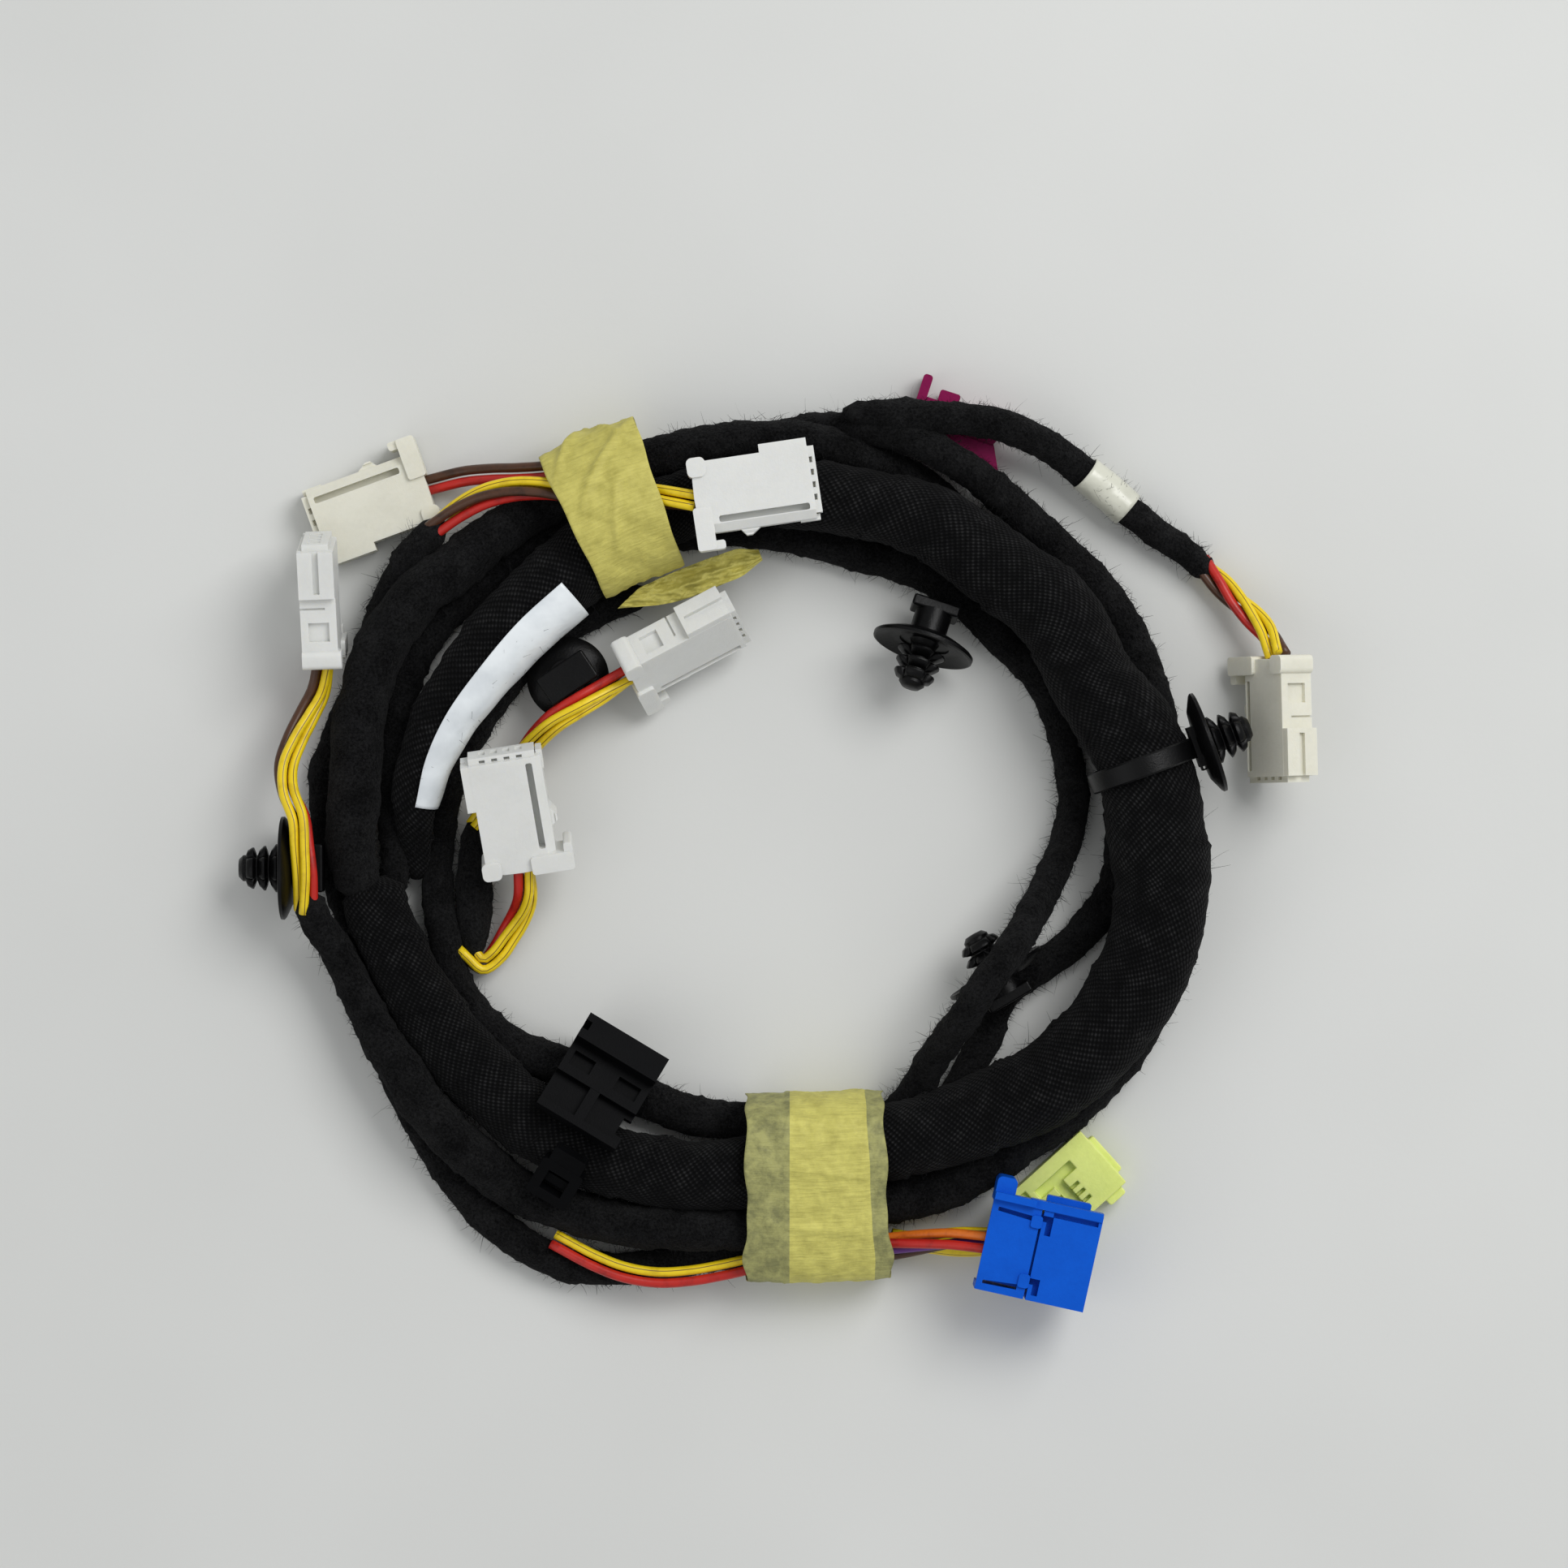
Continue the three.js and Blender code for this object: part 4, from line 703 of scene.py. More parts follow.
def wire(name, node, route, jacket_name, slot):
    points = longer(spline(route, WIRE_STEP), WIRE_HIDDEN)
    obj = tube(name, points, JACKETS[jacket_name], WIRE_SIDES)
    follow(obj, slot, node)


for place, (wires, turn, route) in PIGTAILS.items():
    for name, wire_route in zip(wires, bundle(route, len(wires), turn)):
        colour = name.split("_")[0]
        wire(f"jacket_{place}_{name}", f"wire_{place}_{name}", wire_route, colour, f"wire_{colour}")
wire("jacket_magenta", "lead_magenta", sized(MAGENTA_LEAD_ROUTE, COAX_D), "sleeve", "wire_brown")
wire("jacket_green", "lead_green", sized(GREEN_LEAD_ROUTE, COAX_D), "yellow", "wire_yellow")


# Masking tape
def closed_outline(corners, count):
    """Points evenly round a smooth closed line through the corners."""
    corners = np.asarray(corners, float)
    ring = np.vstack([corners[-3:], corners, corners[:4]])
    dense = spline(np.column_stack([ring, np.zeros(len(ring))]), 0.1)[:, :2]
    start = int(np.argmin(np.linalg.norm(dense - corners[0], axis=1)[: len(dense) // 2]))
    end = start + int(np.argmin(np.linalg.norm(dense[start + 50 :] - corners[0], axis=1))) + 50
    loop = np.column_stack([dense[start : end + 1], np.zeros((end + 1 - start, 1))])
    return spaced(loop, count=count + 1)[:-1, :2]


def shell(name, outer, inner, material, closed, uvs):
    """A skin between two grids of points, closed at its rims."""
    rows, columns = outer.shape[:2]
    faces = grid_faces(rows, columns, closed)
    under = rows * columns
    faces += [tuple(under + k for k in reversed(face)) for face in faces]
    last = (rows - 1) * columns
    for j in range(columns if closed else columns - 1):
        k = (j + 1) % columns
        faces.append((j, under + j, under + k, k))
        faces.append((last + k, under + last + k, under + last + j, last + j))
    if not closed:
        for i in range(rows - 1):
            a, b = i * columns, (i + 1) * columns
            faces.append((b, under + b, under + a, a))
            a, b = a + columns - 1, b + columns - 1
            faces.append((a, under + a, under + b, b))
    points = metres(np.vstack([outer.reshape(-1, 3), inner.reshape(-1, 3)]))
    obj = mesh_object(name, points, faces, material, np.vstack([uvs, uvs]))
    normals = bmesh.new()
    normals.from_mesh(obj.data)
    bmesh.ops.recalc_face_normals(normals, faces=normals.faces)
    normals.to_mesh(obj.data)
    normals.free()
    return obj


TAPE_SKIN = 0.16


def tape_wrap(name, node, route, corners, material, creases, seed, layers):
    """A wrap of creped tape: layers with edges of their own, creased across the strands."""
    middle = spline(np.column_stack([route, np.ones(len(route))]), 0.35)
    _, side, up = frames(middle)
    ring = closed_outline(corners, 260)
    out = np.roll(ring, -1, axis=0) - np.roll(ring, 1, axis=0)
    out = np.column_stack([-out[:, 1], out[:, 0]])
    out /= np.linalg.norm(out, axis=1)[:, None]
    along = lengths(middle)[:, None]
    total = along[-1, 0]
    step = np.linalg.norm(np.roll(ring, -1, axis=0) - ring, axis=1)
    around = np.concatenate([[0], np.cumsum(step)[:-1]])[None, :]
    angle = around / around.max() * 2 * np.pi
    share = along / total
    edge = 0.3 * waves(around, 0 * around, seed + 3, (17, 8), 0)
    placed_along = along + edge * (2 * share - 1) ** 5
    lift = 0.3 + 0.16 * waves(along, angle, seed, (16, 7, 3.6), 9)
    lift = lift + 0.05 * waves(along, angle, seed + 1, (2.1, 1.3), 40)
    for (s0, t0), (s1, t1), width, height in creases:
        way = np.array([s1 - s0, t1 - t0])
        long = np.linalg.norm(way)
        way = way / long
        ds, dt = along - s0, around - t0
        on = np.clip((ds * way[0] + dt * way[1]) / long, 0, 1)
        off = np.hypot(ds - on * long * way[0], dt - on * long * way[1])
        fade = np.sin(np.pi * np.clip(on * 0.9 + 0.05, 0, 1))
        lift = lift + height * np.exp(-((off / width) ** 2)) * fade
    for start, stop in layers:
        wavy = 0.25 * waves(around, 0 * around, seed + 7, (12, 5), 0)
        lift = lift + 0.16 * ((along > start + wavy) & (along < stop + wavy))
    lift = lift * (1 - 0.35 * (2 * share - 1) ** 8)
    row = np.interp(placed_along, along[:, 0], np.arange(len(middle)))
    i = np.clip(np.round(row).astype(int), 0, len(middle) - 1)
    slide = (placed_along - along[i, 0])[..., None]
    tangent = frames(middle)[0]

    def surface(height):
        across = ring[None, :, :1] + height[..., None] * out[None, :, :1]
        above = ring[None, :, 1:] + height[..., None] * out[None, :, 1:]
        spot = middle[i, :3] + slide * tangent[i] + across * side[i] + above * up[i]
        spot[..., 2] = np.maximum(spot[..., 2], 0.03)
        return spot

    obj = shell(name, surface(lift), surface(lift - TAPE_SKIN), material, True, laid(along, around))
    follow(obj, "masking_tape", node)


TOP_WRAP = (TOP_WRAP_ROUTE, TOP_WRAP_OUTLINE, MASKING_TOP, TOP_CREASES)
BOTTOM_WRAP = (BOTTOM_WRAP_ROUTE, BOTTOM_WRAP_OUTLINE, MASKING, BOTTOM_CREASES)
tape_wrap("tape_top", "masking_tape_top", *TOP_WRAP, 41, [])
tape_wrap("tape_bottom", "masking_tape_bottom", *BOTTOM_WRAP, 47, [(5.6, 18.0)])


# The loose end's two edges, its length and width, and where it starts on the roll
TAIL_LOW_EDGE = [(-20.6, 35.2, 0, 0), (-12.5, 36.1, 0, 0), (-4.2, 39.3, 0, 0), (0.4, 42.2, 0, 0)]
TAIL_HIGH_EDGE = [(-17.5, 38.2, 0, 0), (-11.2, 41, 0, 0), (-5, 43.2, 0, 0), (-0.2, 43.8, 0, 0)]
TAIL_LONG = 24
TAIL_WIDE = 6
TAIL_FROM = 8


def tape_tail():
    """The loose end of the upper wrap: a crumpled flap, folded over at its tip."""
    rows, columns = 110, 44
    low = spline(TAIL_LOW_EDGE, 0.2)
    high = spline(TAIL_HIGH_EDGE, 0.2)
    low = spaced(low, count=rows)[:, None, :2]
    high = spaced(high, count=rows)[:, None, :2]
    s = np.linspace(0, 1, rows)[:, None]
    t = np.linspace(0, 1, columns)[None, :]
    flare = 1 + 0.2 * np.exp(-(((s - 0.86) / 0.1) ** 2))
    across = 0.5 + (t - 0.5) * flare
    flat = low + (high - low) * across[..., None]
    fold = 0.9 * np.exp(-(((t - 0.3 - 0.25 * s) / 0.12) ** 2)) - 0.6 * np.exp(-(((t - 0.72) / 0.1) ** 2))
    crumple = 0.4 * waves(TAIL_LONG * s, TAIL_WIDE * t, 61, (9, 4.2), 5)
    crumple = crumple + 0.16 * waves(TAIL_LONG * s, TAIL_WIDE * t, 62, (2.2, 1.3), 9)
    curl = 1.5 * np.clip((s - 0.72) / 0.28, 0, 1) ** 2 * (0.6 - t)
    z = TAIL_LOW[2] + 0.7 + fold * np.sin(np.pi * s) + crumple + curl
    outer = np.concatenate([flat, z[..., None]], axis=2)
    inner = outer - np.array([0, 0, TAPE_SKIN])
    uvs = laid(TAIL_FROM + TAIL_LONG * s, TAIL_WIDE * t)
    obj = shell("tape_tail", outer, inner, MASKING_TOP, False, uvs)
    follow(obj, "masking_tape", "masking_tape_tail")


tape_tail()


# Labels, left bare
LABEL_SIDES = 64
SLEEVE_TURN = 354.375  # degrees, so a thin gap stays where its ends meet


def label(name, node, route, around_from, around_to, lift, skin, seed, material):
    points = spline(route, 0.5)
    _, side, up = frames(points)
    along = lengths(points)[:, None]
    angle = np.radians(np.linspace(around_from, around_to, LABEL_SIDES))[None, :]
    ring = np.cos(angle)[..., None] * side[:, None] + np.sin(angle)[..., None] * up[:, None]
    radius = points[:, 3:4] * lift + 0.1 * waves(along, angle, seed, (14, 7), 3)
    outer = points[:, None, :3] + (radius + skin)[..., None] * ring
    inner = points[:, None, :3] + radius[..., None] * ring
    outer[..., 2] = np.maximum(outer[..., 2], 0.05)
    inner[..., 2] = np.maximum(inner[..., 2], 0.04)
    obj = shell(name, outer, inner, material, False, laid(along, angle * radius))
    follow(obj, "label_paper", node)


label("flag_label", "label_flag", TRUNK_ROUTE[1:7], 95, 235, 1.08, 0.2, 71, PAPER)
label("sleeve_label", "label_sleeve", SLEEVE_LABEL_ROUTE, 0, SLEEVE_TURN, 1.1, 0.2, 72, SLEEVE)


# Moulded pieces, made in millimetres round their own zero
def extruded(outline, low, high, axis="z"):
    """A prism along an axis, from an anticlockwise outline of the other two."""
    count = len(outline)
    points = []
    for level in (low, high):
        for a, b in outline:
            points.append({"z": (a, b, level), "x": (level, a, b), "y": (b, level, a)}[axis])
    faces = [tuple(range(count))[::-1], tuple(range(count, 2 * count))]
    for i in range(count):
        k = (i + 1) % count
        faces.append((i, k, k + count, i + count))
    mesh = bpy.data.meshes.new("form")
    mesh.from_pydata(points, [], faces)
    return linked("form", mesh)


def block(low, high):
    (x0, y0, z0), (x1, y1, z1) = low, high
    return extruded([(x0, y0), (x1, y0), (x1, y1), (x0, y1)], z0, z1)


def rounded(low, high, corner, axis="z"):
    """A prism with a rounded rectangle for its section."""
    (a0, b0, c0), (a1, b1, c1) = low, high
    outline = []
    for a, b, start in ((a1, b0, -90), (a1, b1, 0), (a0, b1, 90), (a0, b0, 180)):
        for turn in range(0, 91, 18):
            angle = math.radians(start + turn)
            middle_a = a - corner if a == a1 else a + corner
            middle_b = b - corner if b == b1 else b + corner
            outline.append((middle_a + corner * math.cos(angle), middle_b + corner * math.sin(angle)))
    return extruded(outline, c0, c1, axis)


def settle(obj):
    """Applies the modifiers, and keeps the hardened normals of a bevel."""
    graph = bpy.context.evaluated_depsgraph_get()
    final = obj.evaluated_get(graph)
    mesh = bpy.data.meshes.new_from_object(final, preserve_all_data_layers=True, depsgraph=graph)
    obj.modifiers.clear()
    obj.data = mesh


def moulding(joins, cuts, edge, segments=3):
    """One solid out of forms that are joined and cut, with its edges softened."""
    solid = joins[0]
    for operation, tools in (("UNION", joins[1:]), ("DIFFERENCE", cuts)):
        for tool in tools:
            modifier = solid.modifiers.new("form", "BOOLEAN")
            modifier.object = tool
            modifier.operation = operation
            modifier.solver = "EXACT"
    settle(solid)
    for tool in [*joins[1:], *cuts]:
        bpy.data.objects.remove(tool)
    clean = bmesh.new()
    clean.from_mesh(solid.data)
    bmesh.ops.remove_doubles(clean, verts=clean.verts, dist=0.004)
    bmesh.ops.dissolve_limit(clean, angle_limit=0.03, verts=clean.verts, edges=clean.edges)
    clean.to_mesh(solid.data)
    clean.free()
    smooth_faces(solid.data)
    bevel = solid.modifiers.new("edge", "BEVEL")
    bevel.width = edge
    bevel.segments = segments
    bevel.limit_method = "ANGLE"
    bevel.angle_limit = math.radians(28)
    bevel.harden_normals = True
    settle(solid)
    return solid


def turned(heading, roll=0.0, pitch=0.0):
    about_z = Matrix.Rotation(math.radians(heading), 4, "Z")
    about_y = Matrix.Rotation(math.radians(-pitch), 4, "Y")
    return about_z @ about_y @ Matrix.Rotation(math.radians(roll), 4, "X")


def set_down(solid, name, material, slot, place, turn, *nodes):
    """Puts a copy of a piece, made in millimetres, in its place."""
    mesh = solid.data.copy()
    mesh.transform(Matrix.Translation(Vector(metres(place))) @ turn @ Matrix.Scale(MM, 4))
    mesh.materials.clear()
    mesh.materials.append(material)
    follow(linked(name, mesh), slot, *nodes)


# The housing with four ways: wire end at x = 0, slot side at low y
HOUSING_END = 17.0
HOUSING_SIDE = 5.2
HOUSING_TOP = 2.6
WAY_PITCH = 1.8


def housing():
    end, side, top = HOUSING_END, HOUSING_SIDE, HOUSING_TOP
    body = [(0.4, -side), (end, -side), (end, side), (0.4, side), (0.05, 2.6), (-0.05, 0), (0.05, -2.6)]
    latch = [(5.7, -side + 0.3), (6.7, -side - 0.95), (7.5, -side - 0.95), (9.3, -side + 0.3)]
    joins = [
        extruded(body, -top, top),
        block((10.1, side - 0.6, -top + 0.02), (end - 0.05, side + 1.2, top - 0.02)),
        block((end - 0.4, -side + 0.75, -top + 0.7), (end + 0.9, side - 0.03, top - 0.7)),
        rounded((-0.5, side - 2.2, -top - 0.03), (2.2, side + 0.62, top + 0.45), 0.8),
        rounded((-0.5, -side - 2.4, -top + 0.04), (2.2, -1.4, top + 0.6), 0.45),
        rounded((-0.45, -side - 2.42, -top + 0.06), (3.5, -side - 1.15, top + 0.1), 0.4),
        extruded(latch, -top + 0.3, top - 1.2),
        block((14.6, -side - 0.25, -top + 0.3), (end + 0.5, -side + 0.6, top - 1.8)),
    ]
    slope = [(-3.95, top + 0.6), (-side - 0.7, top + 0.6), (-side - 0.7, top - 1.5), (-3.95, top + 0.02)]
    cuts = [
        rounded((3.1, -3.85, 0.4), (16.2, -2.9, top + 1), 0.3),
        extruded(slope, 2.25, end + 1.5, "x"),
        block((10.8, side + 0.5, -0.45), (end + 1, side + 2, 0.45)),
        block((3.6, side - 0.7, -1.5), (6.4, side + 1, 1.5)),
        block((8.3, side - 0.4, -top - 1), (8.6, side + 1, top - 1.6)),
        block((4.2, -3.2, -top - 1), (13.5, 3.4, -top + 0.35)),
    ]
    for i in range(4):
        y = (i - 1.5) * WAY_PITCH + 0.5
        cuts.append(block((end + 0.05, y - 0.42, 0.4), (end + 0.5, y + 0.42, top)))
        cuts.append(block((end + 0.45, y - 0.5, -1.1), (end + 2, y + 0.5, 0.7)))
    return moulding(joins, cuts, 0.17)


HOUSING_PLACES = {
    "top": ((-9.3, 50.6, 17.1), 8.4, 0, 0, WHITE, "white_plastic"),
    "top_left": ((-48.4, 53.3, 3.2), 200, 0, 0, CREAM, "cream_plastic"),
    "left": ((-63.3, 28, 8.1), 92, 90, 14, WHITE, "white_plastic"),
    "centre": ((-34.3, -2.2, 8.7), 99, 0, 18, WHITE, "white_plastic"),
    "middle_top": ((-18.9, 25.7, 7.8), 27.8, 60, 0, WHITE, "white_plastic"),
    "right": ((74.7, 27.9, 7.8), -88.5, 60, 0, CREAM, "cream_plastic"),
}
form = housing()
for name, (place, heading, roll, pitch, material, slot_name) in HOUSING_PLACES.items():
    turn = turned(heading, roll, pitch)
    set_down(form, f"housing_{name}", material, slot_name, place, turn, f"connector_{name}")
bpy.data.objects.remove(form)


# The blue connector and the cover at its wire end
def blue_body():
    joins = [
        block((-1.0, -7, -4), (7.5, 7, 4)),
        block((-7.4, -5.6, -3.9), (0, 5.6, 2.7)),
        rounded((-0.9, 6.7, -1.1), (5.6, 8.3, 1.1), 0.3),
        block((-3.2, 6.2, 1.2), (7.45, 7.45, 4.3)),
    ]
    cuts = [
        block((-0.4, 2.6, 2.2), (0.5, 5.4, 5)),
        block((-1.5, 4.5, 2.2), (0.2, 5.4, 5)),
        block((-0.4, -6.2, 2.2), (0.5, -3.8, 5)),
        block((-1.5, -4.7, 2.2), (0.2, -3.8, 5)),
        block((0.4, 5.4, 3.0), (7.0, 6.1, 5)),
        block((6.9, -5.6, -2.8), (9, 5.6, 2.8)),
    ]
    return moulding(joins, cuts, 0.16)


def blue_cover():
    joins = [
        block((-8.5, -7, 2.95), (-1.35, 7, 3.95)),
        block((-8.5, -7, -4), (-1.35, -6, 3.2)),
        block((-8.5, 6, -4), (-1.35, 7, 3.2)),
        rounded((-8.5, 5.6, -4), (-5.6, 9.6, 3.3), 0.7),
        block((-8.45, 6.3, 2.0), (-2.4, 7.35, 5.1)),
        rounded((-2.6, 3.4, 3.3), (-1.0, 5.2, 4.35), 0.4),
        rounded((-2.6, -5.4, 3.3), (-1.0, -3.4, 4.35), 0.4),
    ]
    cuts = [
        extruded([(-7.6, 4.7), (-2.6, 4.3), (-2.6, 5.0), (-7.6, 5.3)], 2, 6),
        extruded([(-7.6, -6.0), (-2.6, -5.9), (-2.6, -5.1), (-7.6, -5.5)], 2, 6),
    ]
    return moulding(joins, cuts, 0.14)


def magenta_body():
    outline = [(-7.25, -3.5), (7.25, -3.5), (5.45, 0), (7.25, 3.5), (-7.25, 3.5)]
    joins = [
        extruded(outline, -2.5, 2.5),
        rounded((-7.25, 3.2, -1.8), (-5.85, 6.7, 1.8), 0.5),
        rounded((-4.25, 3.2, -1), (-1.2, 5.3, 1), 0.4),
    ]
    cuts = [block((-6, -0.35, 1.9), (6.5, 0.35, 3))]
    cuts += [block((x, 2.2, 1.9), (x + 0.8, 3.9, 3)) for x in (-4.0, -1.4, 1.2, 3.8)]
    return moulding(joins, cuts, 0.18)


def green_body():
    joins = [
        block((-7.5, -5, -2.3), (7.5, 5, 2.3)),
        rounded((3.5, -6.2, -2.3), (6.5, -4.6, 1.3), 0.4),
        rounded((6.9, -3.2, -1.6), (8.4, 3.2, 1.6), 0.4),
    ]
    cuts = [
        block((-3.4, 1.4, 0.9), (3.4, 2.9, 3)),
        block((-0.8, -3.6, 0.9), (0.8, 1.6, 3)),
        block((-5.8, -4.0, 1.5), (-4.4, 3.8, 3)),
    ]
    cuts += [block((-2.3, y, 1.2), (2.3, y + 0.5, 3)) for y in (-3.2, -1.9, -0.6)]
    return moulding(joins, cuts, 0.25)


# Fir-tree clips: the disc's face is at x = 0 and the tree points along x
def fir_tree(disc, flat, length, neck):
    """A disc on a neck, and a core with rows of barbs that are split into four petals."""
    rows = [(0, -0.9 - neck, 0), (2.7, -0.9 - neck, 0), (2.7, -1.1, 0), (3.0, -0.92, 0), (flat, -0.9, 0)]
    rows += [(disc - 0.3, 0.02, 0), (disc, 0.3, 0), (disc - 0.05, 0.75, 0), (disc - 0.35, 0.85, 0)]
    rows += [(flat, 0, 0), (3.75, 0, 0), (3.7, -0.25, 0), (2.2, -0.25, 0), (1.9, 0.3, 0)]
    pitch = (length - 1) / 3.5
    for i in range(3):
        x = 1 + i * pitch
        reach = 3.5 - 0.25 * i
        rows += [(1.9, x - 0.1, 0), (reach * 0.8, x + 0.05, 1), (reach, x + 0.3, 1)]
        rows += [(reach, x + 0.55, 1), (2.6, x + 0.7 * pitch, 1), (1.9, x + 0.85 * pitch, 0)]
    rows += [(1.9, length - 0.7, 0), (1.3, length - 0.1, 0), (0, length, 0)]
    around = 2 * np.pi * np.arange(72) / 72
    petal = np.clip(np.abs(np.cos(2 * around)) * 1.7, 0, 1) ** 0.6
    points = []
    for radius, x, split in rows:
        r = np.where(split, 1.75 + (radius - 1.75) * (0.1 + 0.9 * petal), radius)
        points.append(np.column_stack([np.full(72, x), r * np.cos(around), r * np.sin(around)]))
    mesh = bpy.data.meshes.new("form")
    mesh.from_pydata([tuple(p) for p in np.vstack(points)], [], grid_faces(len(rows), 72))
    clean = bmesh.new()
    clean.from_mesh(mesh)
    bmesh.ops.remove_doubles(clean, verts=clean.verts, dist=0.0005)
    bmesh.ops.recalc_face_normals(clean, faces=clean.faces)
    clean.to_mesh(mesh)
    clean.free()
    smooth_faces(mesh)
    mesh.set_sharp_from_angle(angle=math.radians(42))
    return linked("form", mesh)


def merged(*objs):
    """One mesh out of several finished forms."""
    whole = bmesh.new()
    for obj in objs:
        whole.from_mesh(obj.data)
    whole.to_mesh(objs[0].data)
    whole.free()
    for obj in objs[1:]:
        bpy.data.objects.remove(obj)
    return objs[0]


def clip(neck, length, disc=7.5, flat=5.25, tree=7.0):
    """A fir tree on a pad that is taped along a strand."""
    x = -0.9 - neck
    plate = moulding([block((x - 1.4, -length / 2, -2.3), (x + 0.3, length / 2, 2.3))], [], 0.35)
    web = moulding([block((x - 0.2, -2.4, -0.6), (-0.5, 2.4, 0.6))], [], 0.15)
    return merged(fir_tree(disc, flat, tree, neck), plate, web)


BAND_SIDES = 96


def tie_clip(radius):
    """A fir tree on the head of a cable tie."""
    inside, outside = radius + 0.3, radius + 1.35
    around = 2 * np.pi * np.arange(BAND_SIDES) / BAND_SIDES
    rim, half = outside - 0.25, 1.5
    section = [(inside, -half), (inside, half), (rim, half), (outside, 1.25), (outside, -1.25), (rim, -half)]
    points = [(r * math.cos(a), y, r * math.sin(a)) for a in around for r, y in section]
    faces = []
    count = len(section)
    for i in range(BAND_SIDES):
        for j in range(count):
            k, n = (j + 1) % count, (i + 1) % BAND_SIDES
            faces.append((i * count + j, i * count + k, n * count + k, n * count + j))
    mesh = bpy.data.meshes.new("form")
    mesh.from_pydata(points, [], faces)
    smooth_faces(mesh)
    mesh.set_sharp_from_angle(angle=math.radians(35))
    band = linked("form", mesh)
    face = outside + 1.4
    box = block((outside - 0.45, -3, -2.5), (face - 0.4, 3, 2.5))
    mouth = block((outside - 0.3, -3.6, -1.6), (outside + 0.8, -2.8, 1.6))
    slit = block((outside - 0.1, -3.4, -2.0), (outside + 0.35, -2.2, 2.0))
    head = moulding([box, mouth], [slit], 0.2)
    tree = fir_tree(7.5, 5.25, 7.0, 0.3)
    tree.data.transform(Matrix.Translation((face, 0, 0)))
    return merged(tree, head, band)


def channel_clip():
    joins = [
        block((-6.6, -7.5, 0), (6.6, 7.5, 1.1)),
        block((-6.6, 3.5, 0.02), (6.6, 7.48, 5)),
        block((-6.58, -1.5, 0.04), (6.58, 7.4, 2.5)),
        block((-1, -7.45, 0.06), (0.6, 7.3, 2.45)),
        block((-6.6, -7.5, 0.02), (6.6, -6.3, 2.5)),
        block((-6.55, 6.4, -5.2), (6.55, 7.5, 1.1)),
    ]
    cuts = [
        block((-7.5, 4.9, 1.6), (-5.6, 6.3, 6)),
        block((5.4, -5.2, -1), (7.5, -2.4, 3)),
        block((1.8, 0.0, 1.4), (5.4, 2.2, 4)),
        block((-5.6, 0.0, 1.4), (-2.2, 2.2, 4)),
    ]
    return moulding(joins, cuts, 0.2)


def buckle():
    joins = [
        rounded((-3.3, -3.3, 0), (3.3, 3.3, 1.8), 0.5),
        rounded((-2.6, 3.0, 0.05), (2.6, 5.7, 1.75), 0.4),
    ]
    cuts = [block((-1.7, -1.7, -1), (1.7, 1.7, 3))]
    frame_form = moulding(joins, cuts, 0.25)
    tongue = moulding([block((-2.0, -0.8, 0), (2.0, 0.8, 0.9))], [], 0.15)
    return merged(frame_form, tongue)


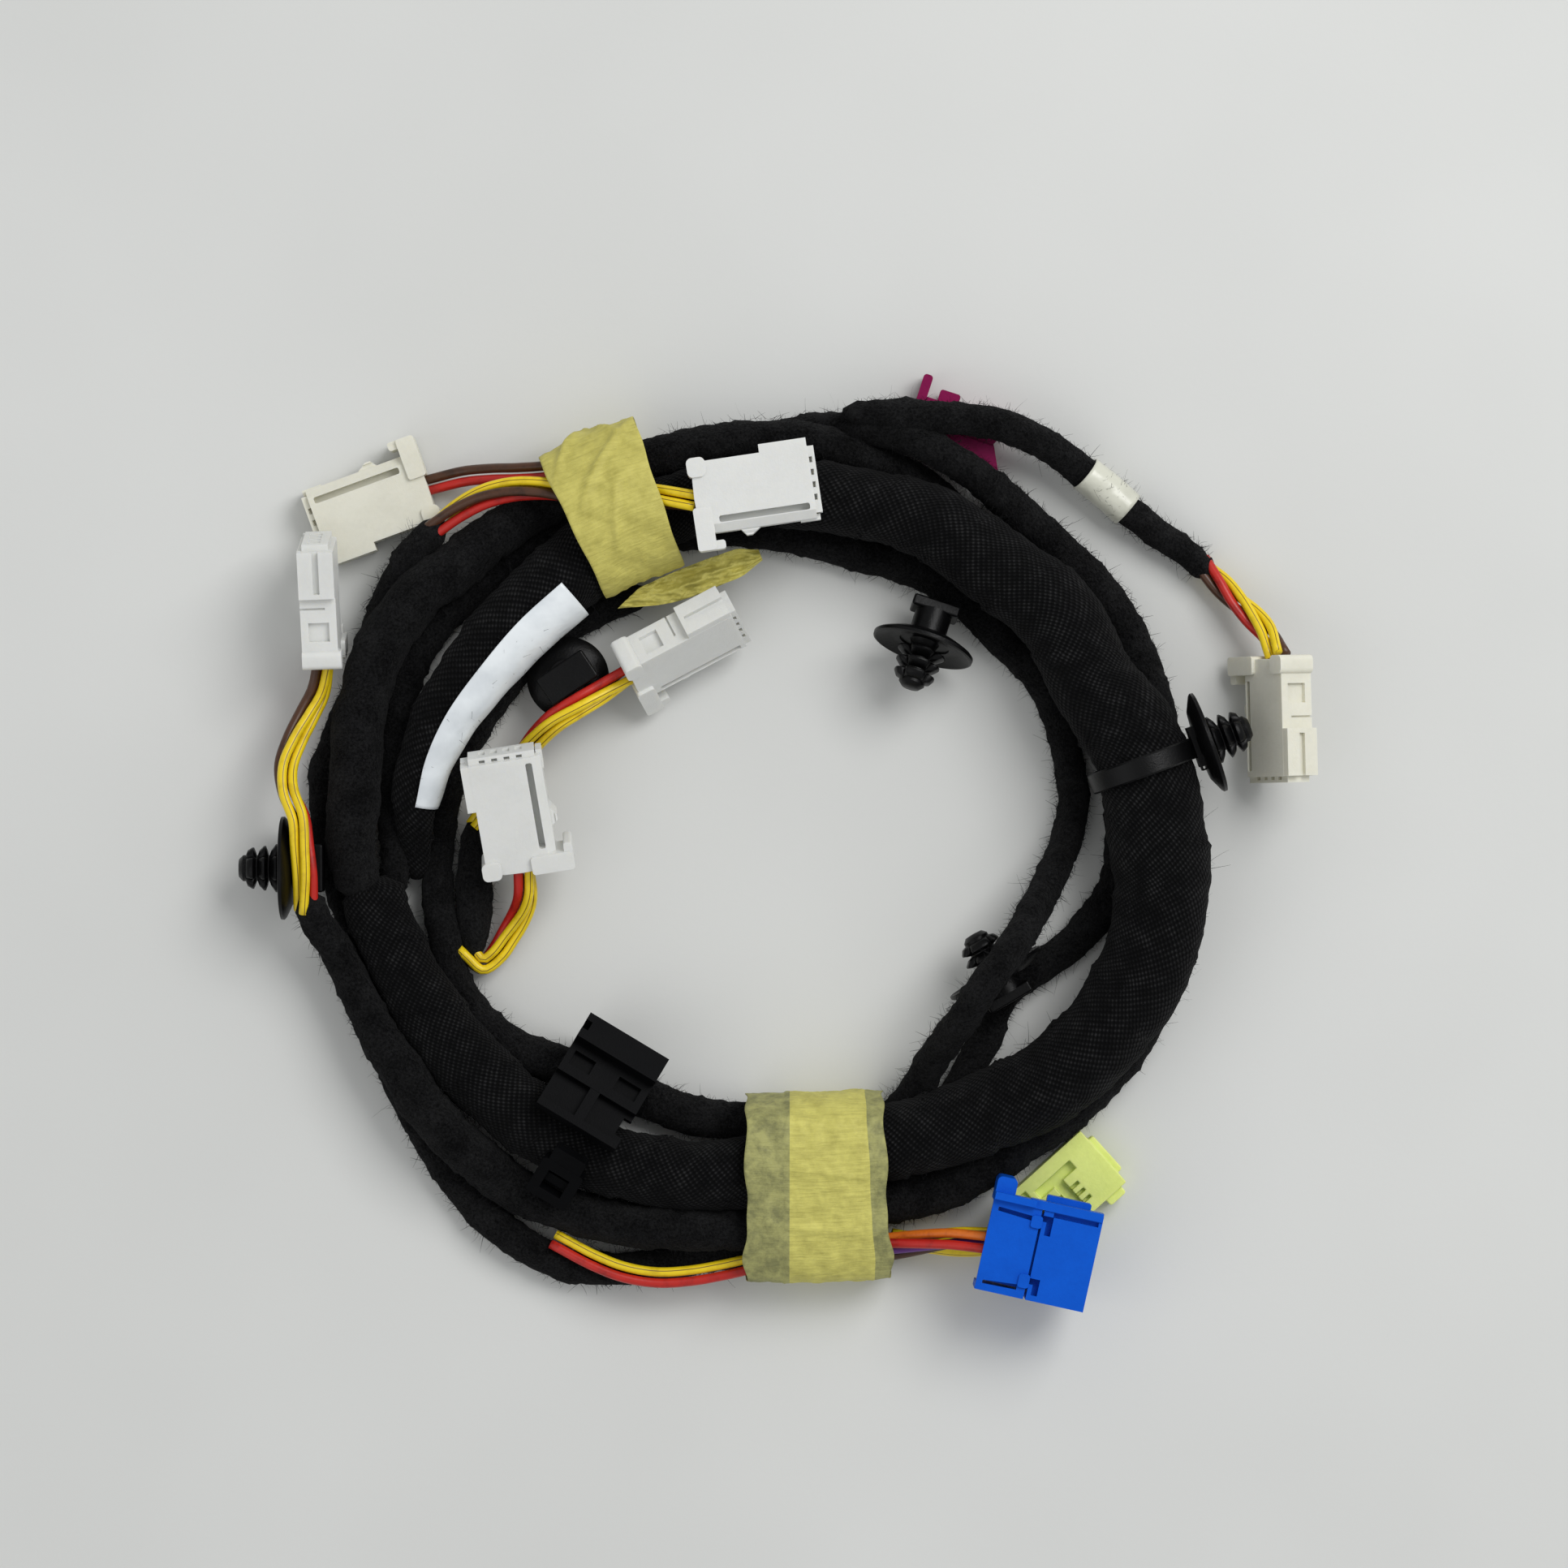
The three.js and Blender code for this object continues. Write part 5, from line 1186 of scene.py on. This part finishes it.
# name: (the piece it stands for, its maker and what that is given, look, place and turn)
BLUE_LOOK = (BLUE, "blue_plastic")
BLUE_PLACE = ((40.7, -57.8, 10.6), turned(-12.5))
CLIP_LOOK = (NYLON, "black_nylon")
CHANNEL_LOOK = (CHANNEL, "black_nylon")
MOULDINGS = {
    "connector_blue_moulding": ("connector_blue", blue_body, (), *BLUE_LOOK, *BLUE_PLACE),
    "connector_blue_cover_moulding": ("connector_blue_cover", blue_cover, (), *BLUE_LOOK, *BLUE_PLACE),
    "magenta_moulding": (
        "connector_magenta", magenta_body, (), MAGENTA, "magenta_plastic", (28.8, 61, 2.55), turned(-18)
    ),
    "green_moulding": (
        "connector_green", green_body, (), GREEN, "green_plastic", (44.4, -49.4, 2.4), turned(42)
    ),
    "clip_trunk_moulding": ("clip_trunk", tie_clip, (6.75,), *CLIP_LOOK, (55.2, 12.4, 13.7), turned(20)),
    "clip_left_moulding": ("clip_left", clip, (3.1, 7), *CLIP_LOOK, (-68.6, -2.4, 7.8), turned(180)),
    "clip_upper_moulding": ("clip_upper", clip, (4.1, 7), *CLIP_LOOK, (23.8, 30.1, 8), turned(-108, 0, 15)),
    "clip_lower_moulding": ("clip_lower", clip, (2, 7), *CLIP_LOOK, (34.4, -18, 7.7), turned(120)),
    "clip_label_moulding": (
        "clip_label", clip, (2, 8, 6, 4.1, 5.2), *CLIP_LOOK, (-27.9, 25.2, 5.5), turned(-56, 0, -90)
    ),
    "channel_moulding": (
        "clip_channel", channel_clip, (), *CHANNEL_LOOK, (-23.2, -34, 10.6), turned(-31, -20)
    ),
    "buckle_moulding": ("clip_buckle", buckle, (), *CHANNEL_LOOK, (-29.2, -47.2, 10.7), turned(-31, 30)),
}
for name, (node, maker, sizes, material, slot_name, place, turn) in MOULDINGS.items():
    form = maker(*sizes)
    set_down(form, name, material, slot_name, place, turn, node)
    bpy.data.objects.remove(form)


# Floor and light, in metres
FLOOR_WIDE = 3.0


def floor():
    m = Nodes("floor")
    cloud = m.noise(m.place(), 9, 3)
    tone = m.ramp(cloud, [(0.35, (0.65, 0.655, 0.635)), (0.65, (0.69, 0.695, 0.675))])
    skin = m.bump(m.noise(m.place(), 700, 3, 0.6), 0.06, 0.3)
    material = m.finish(tone, skin, Roughness=0.75)
    half = FLOOR_WIDE / 2
    points = [(-half, -half, 0), (half, -half, 0), (half, half, 0), (-half, half, 0)]
    plane = mesh_object("floor", points, [(0, 1, 2, 3)], material, smooth=False)


def lamp(name, power, size, place, aim=(0, 0, 0)):
    data = bpy.data.lights.new(name, "AREA")
    data.energy = power
    data.size = size
    obj = linked(name, data)
    obj.location = place
    obj.rotation_euler = (Vector(aim) - Vector(place)).to_track_quat("-Z", "Y").to_euler()


floor()
lamp("window", 4.8, 0.5, (0.42, 0.4, 0.72))
lamp("fill", 1.0, 0.7, (-0.6, -0.3, 0.7))

world = bpy.data.worlds.new("room")
bpy.context.scene.world = world
world.use_nodes = True
background = world.node_tree.nodes["Background"]
background.inputs["Color"].default_value = (0.97, 0.985, 1.0, 1)
background.inputs["Strength"].default_value = 0.5
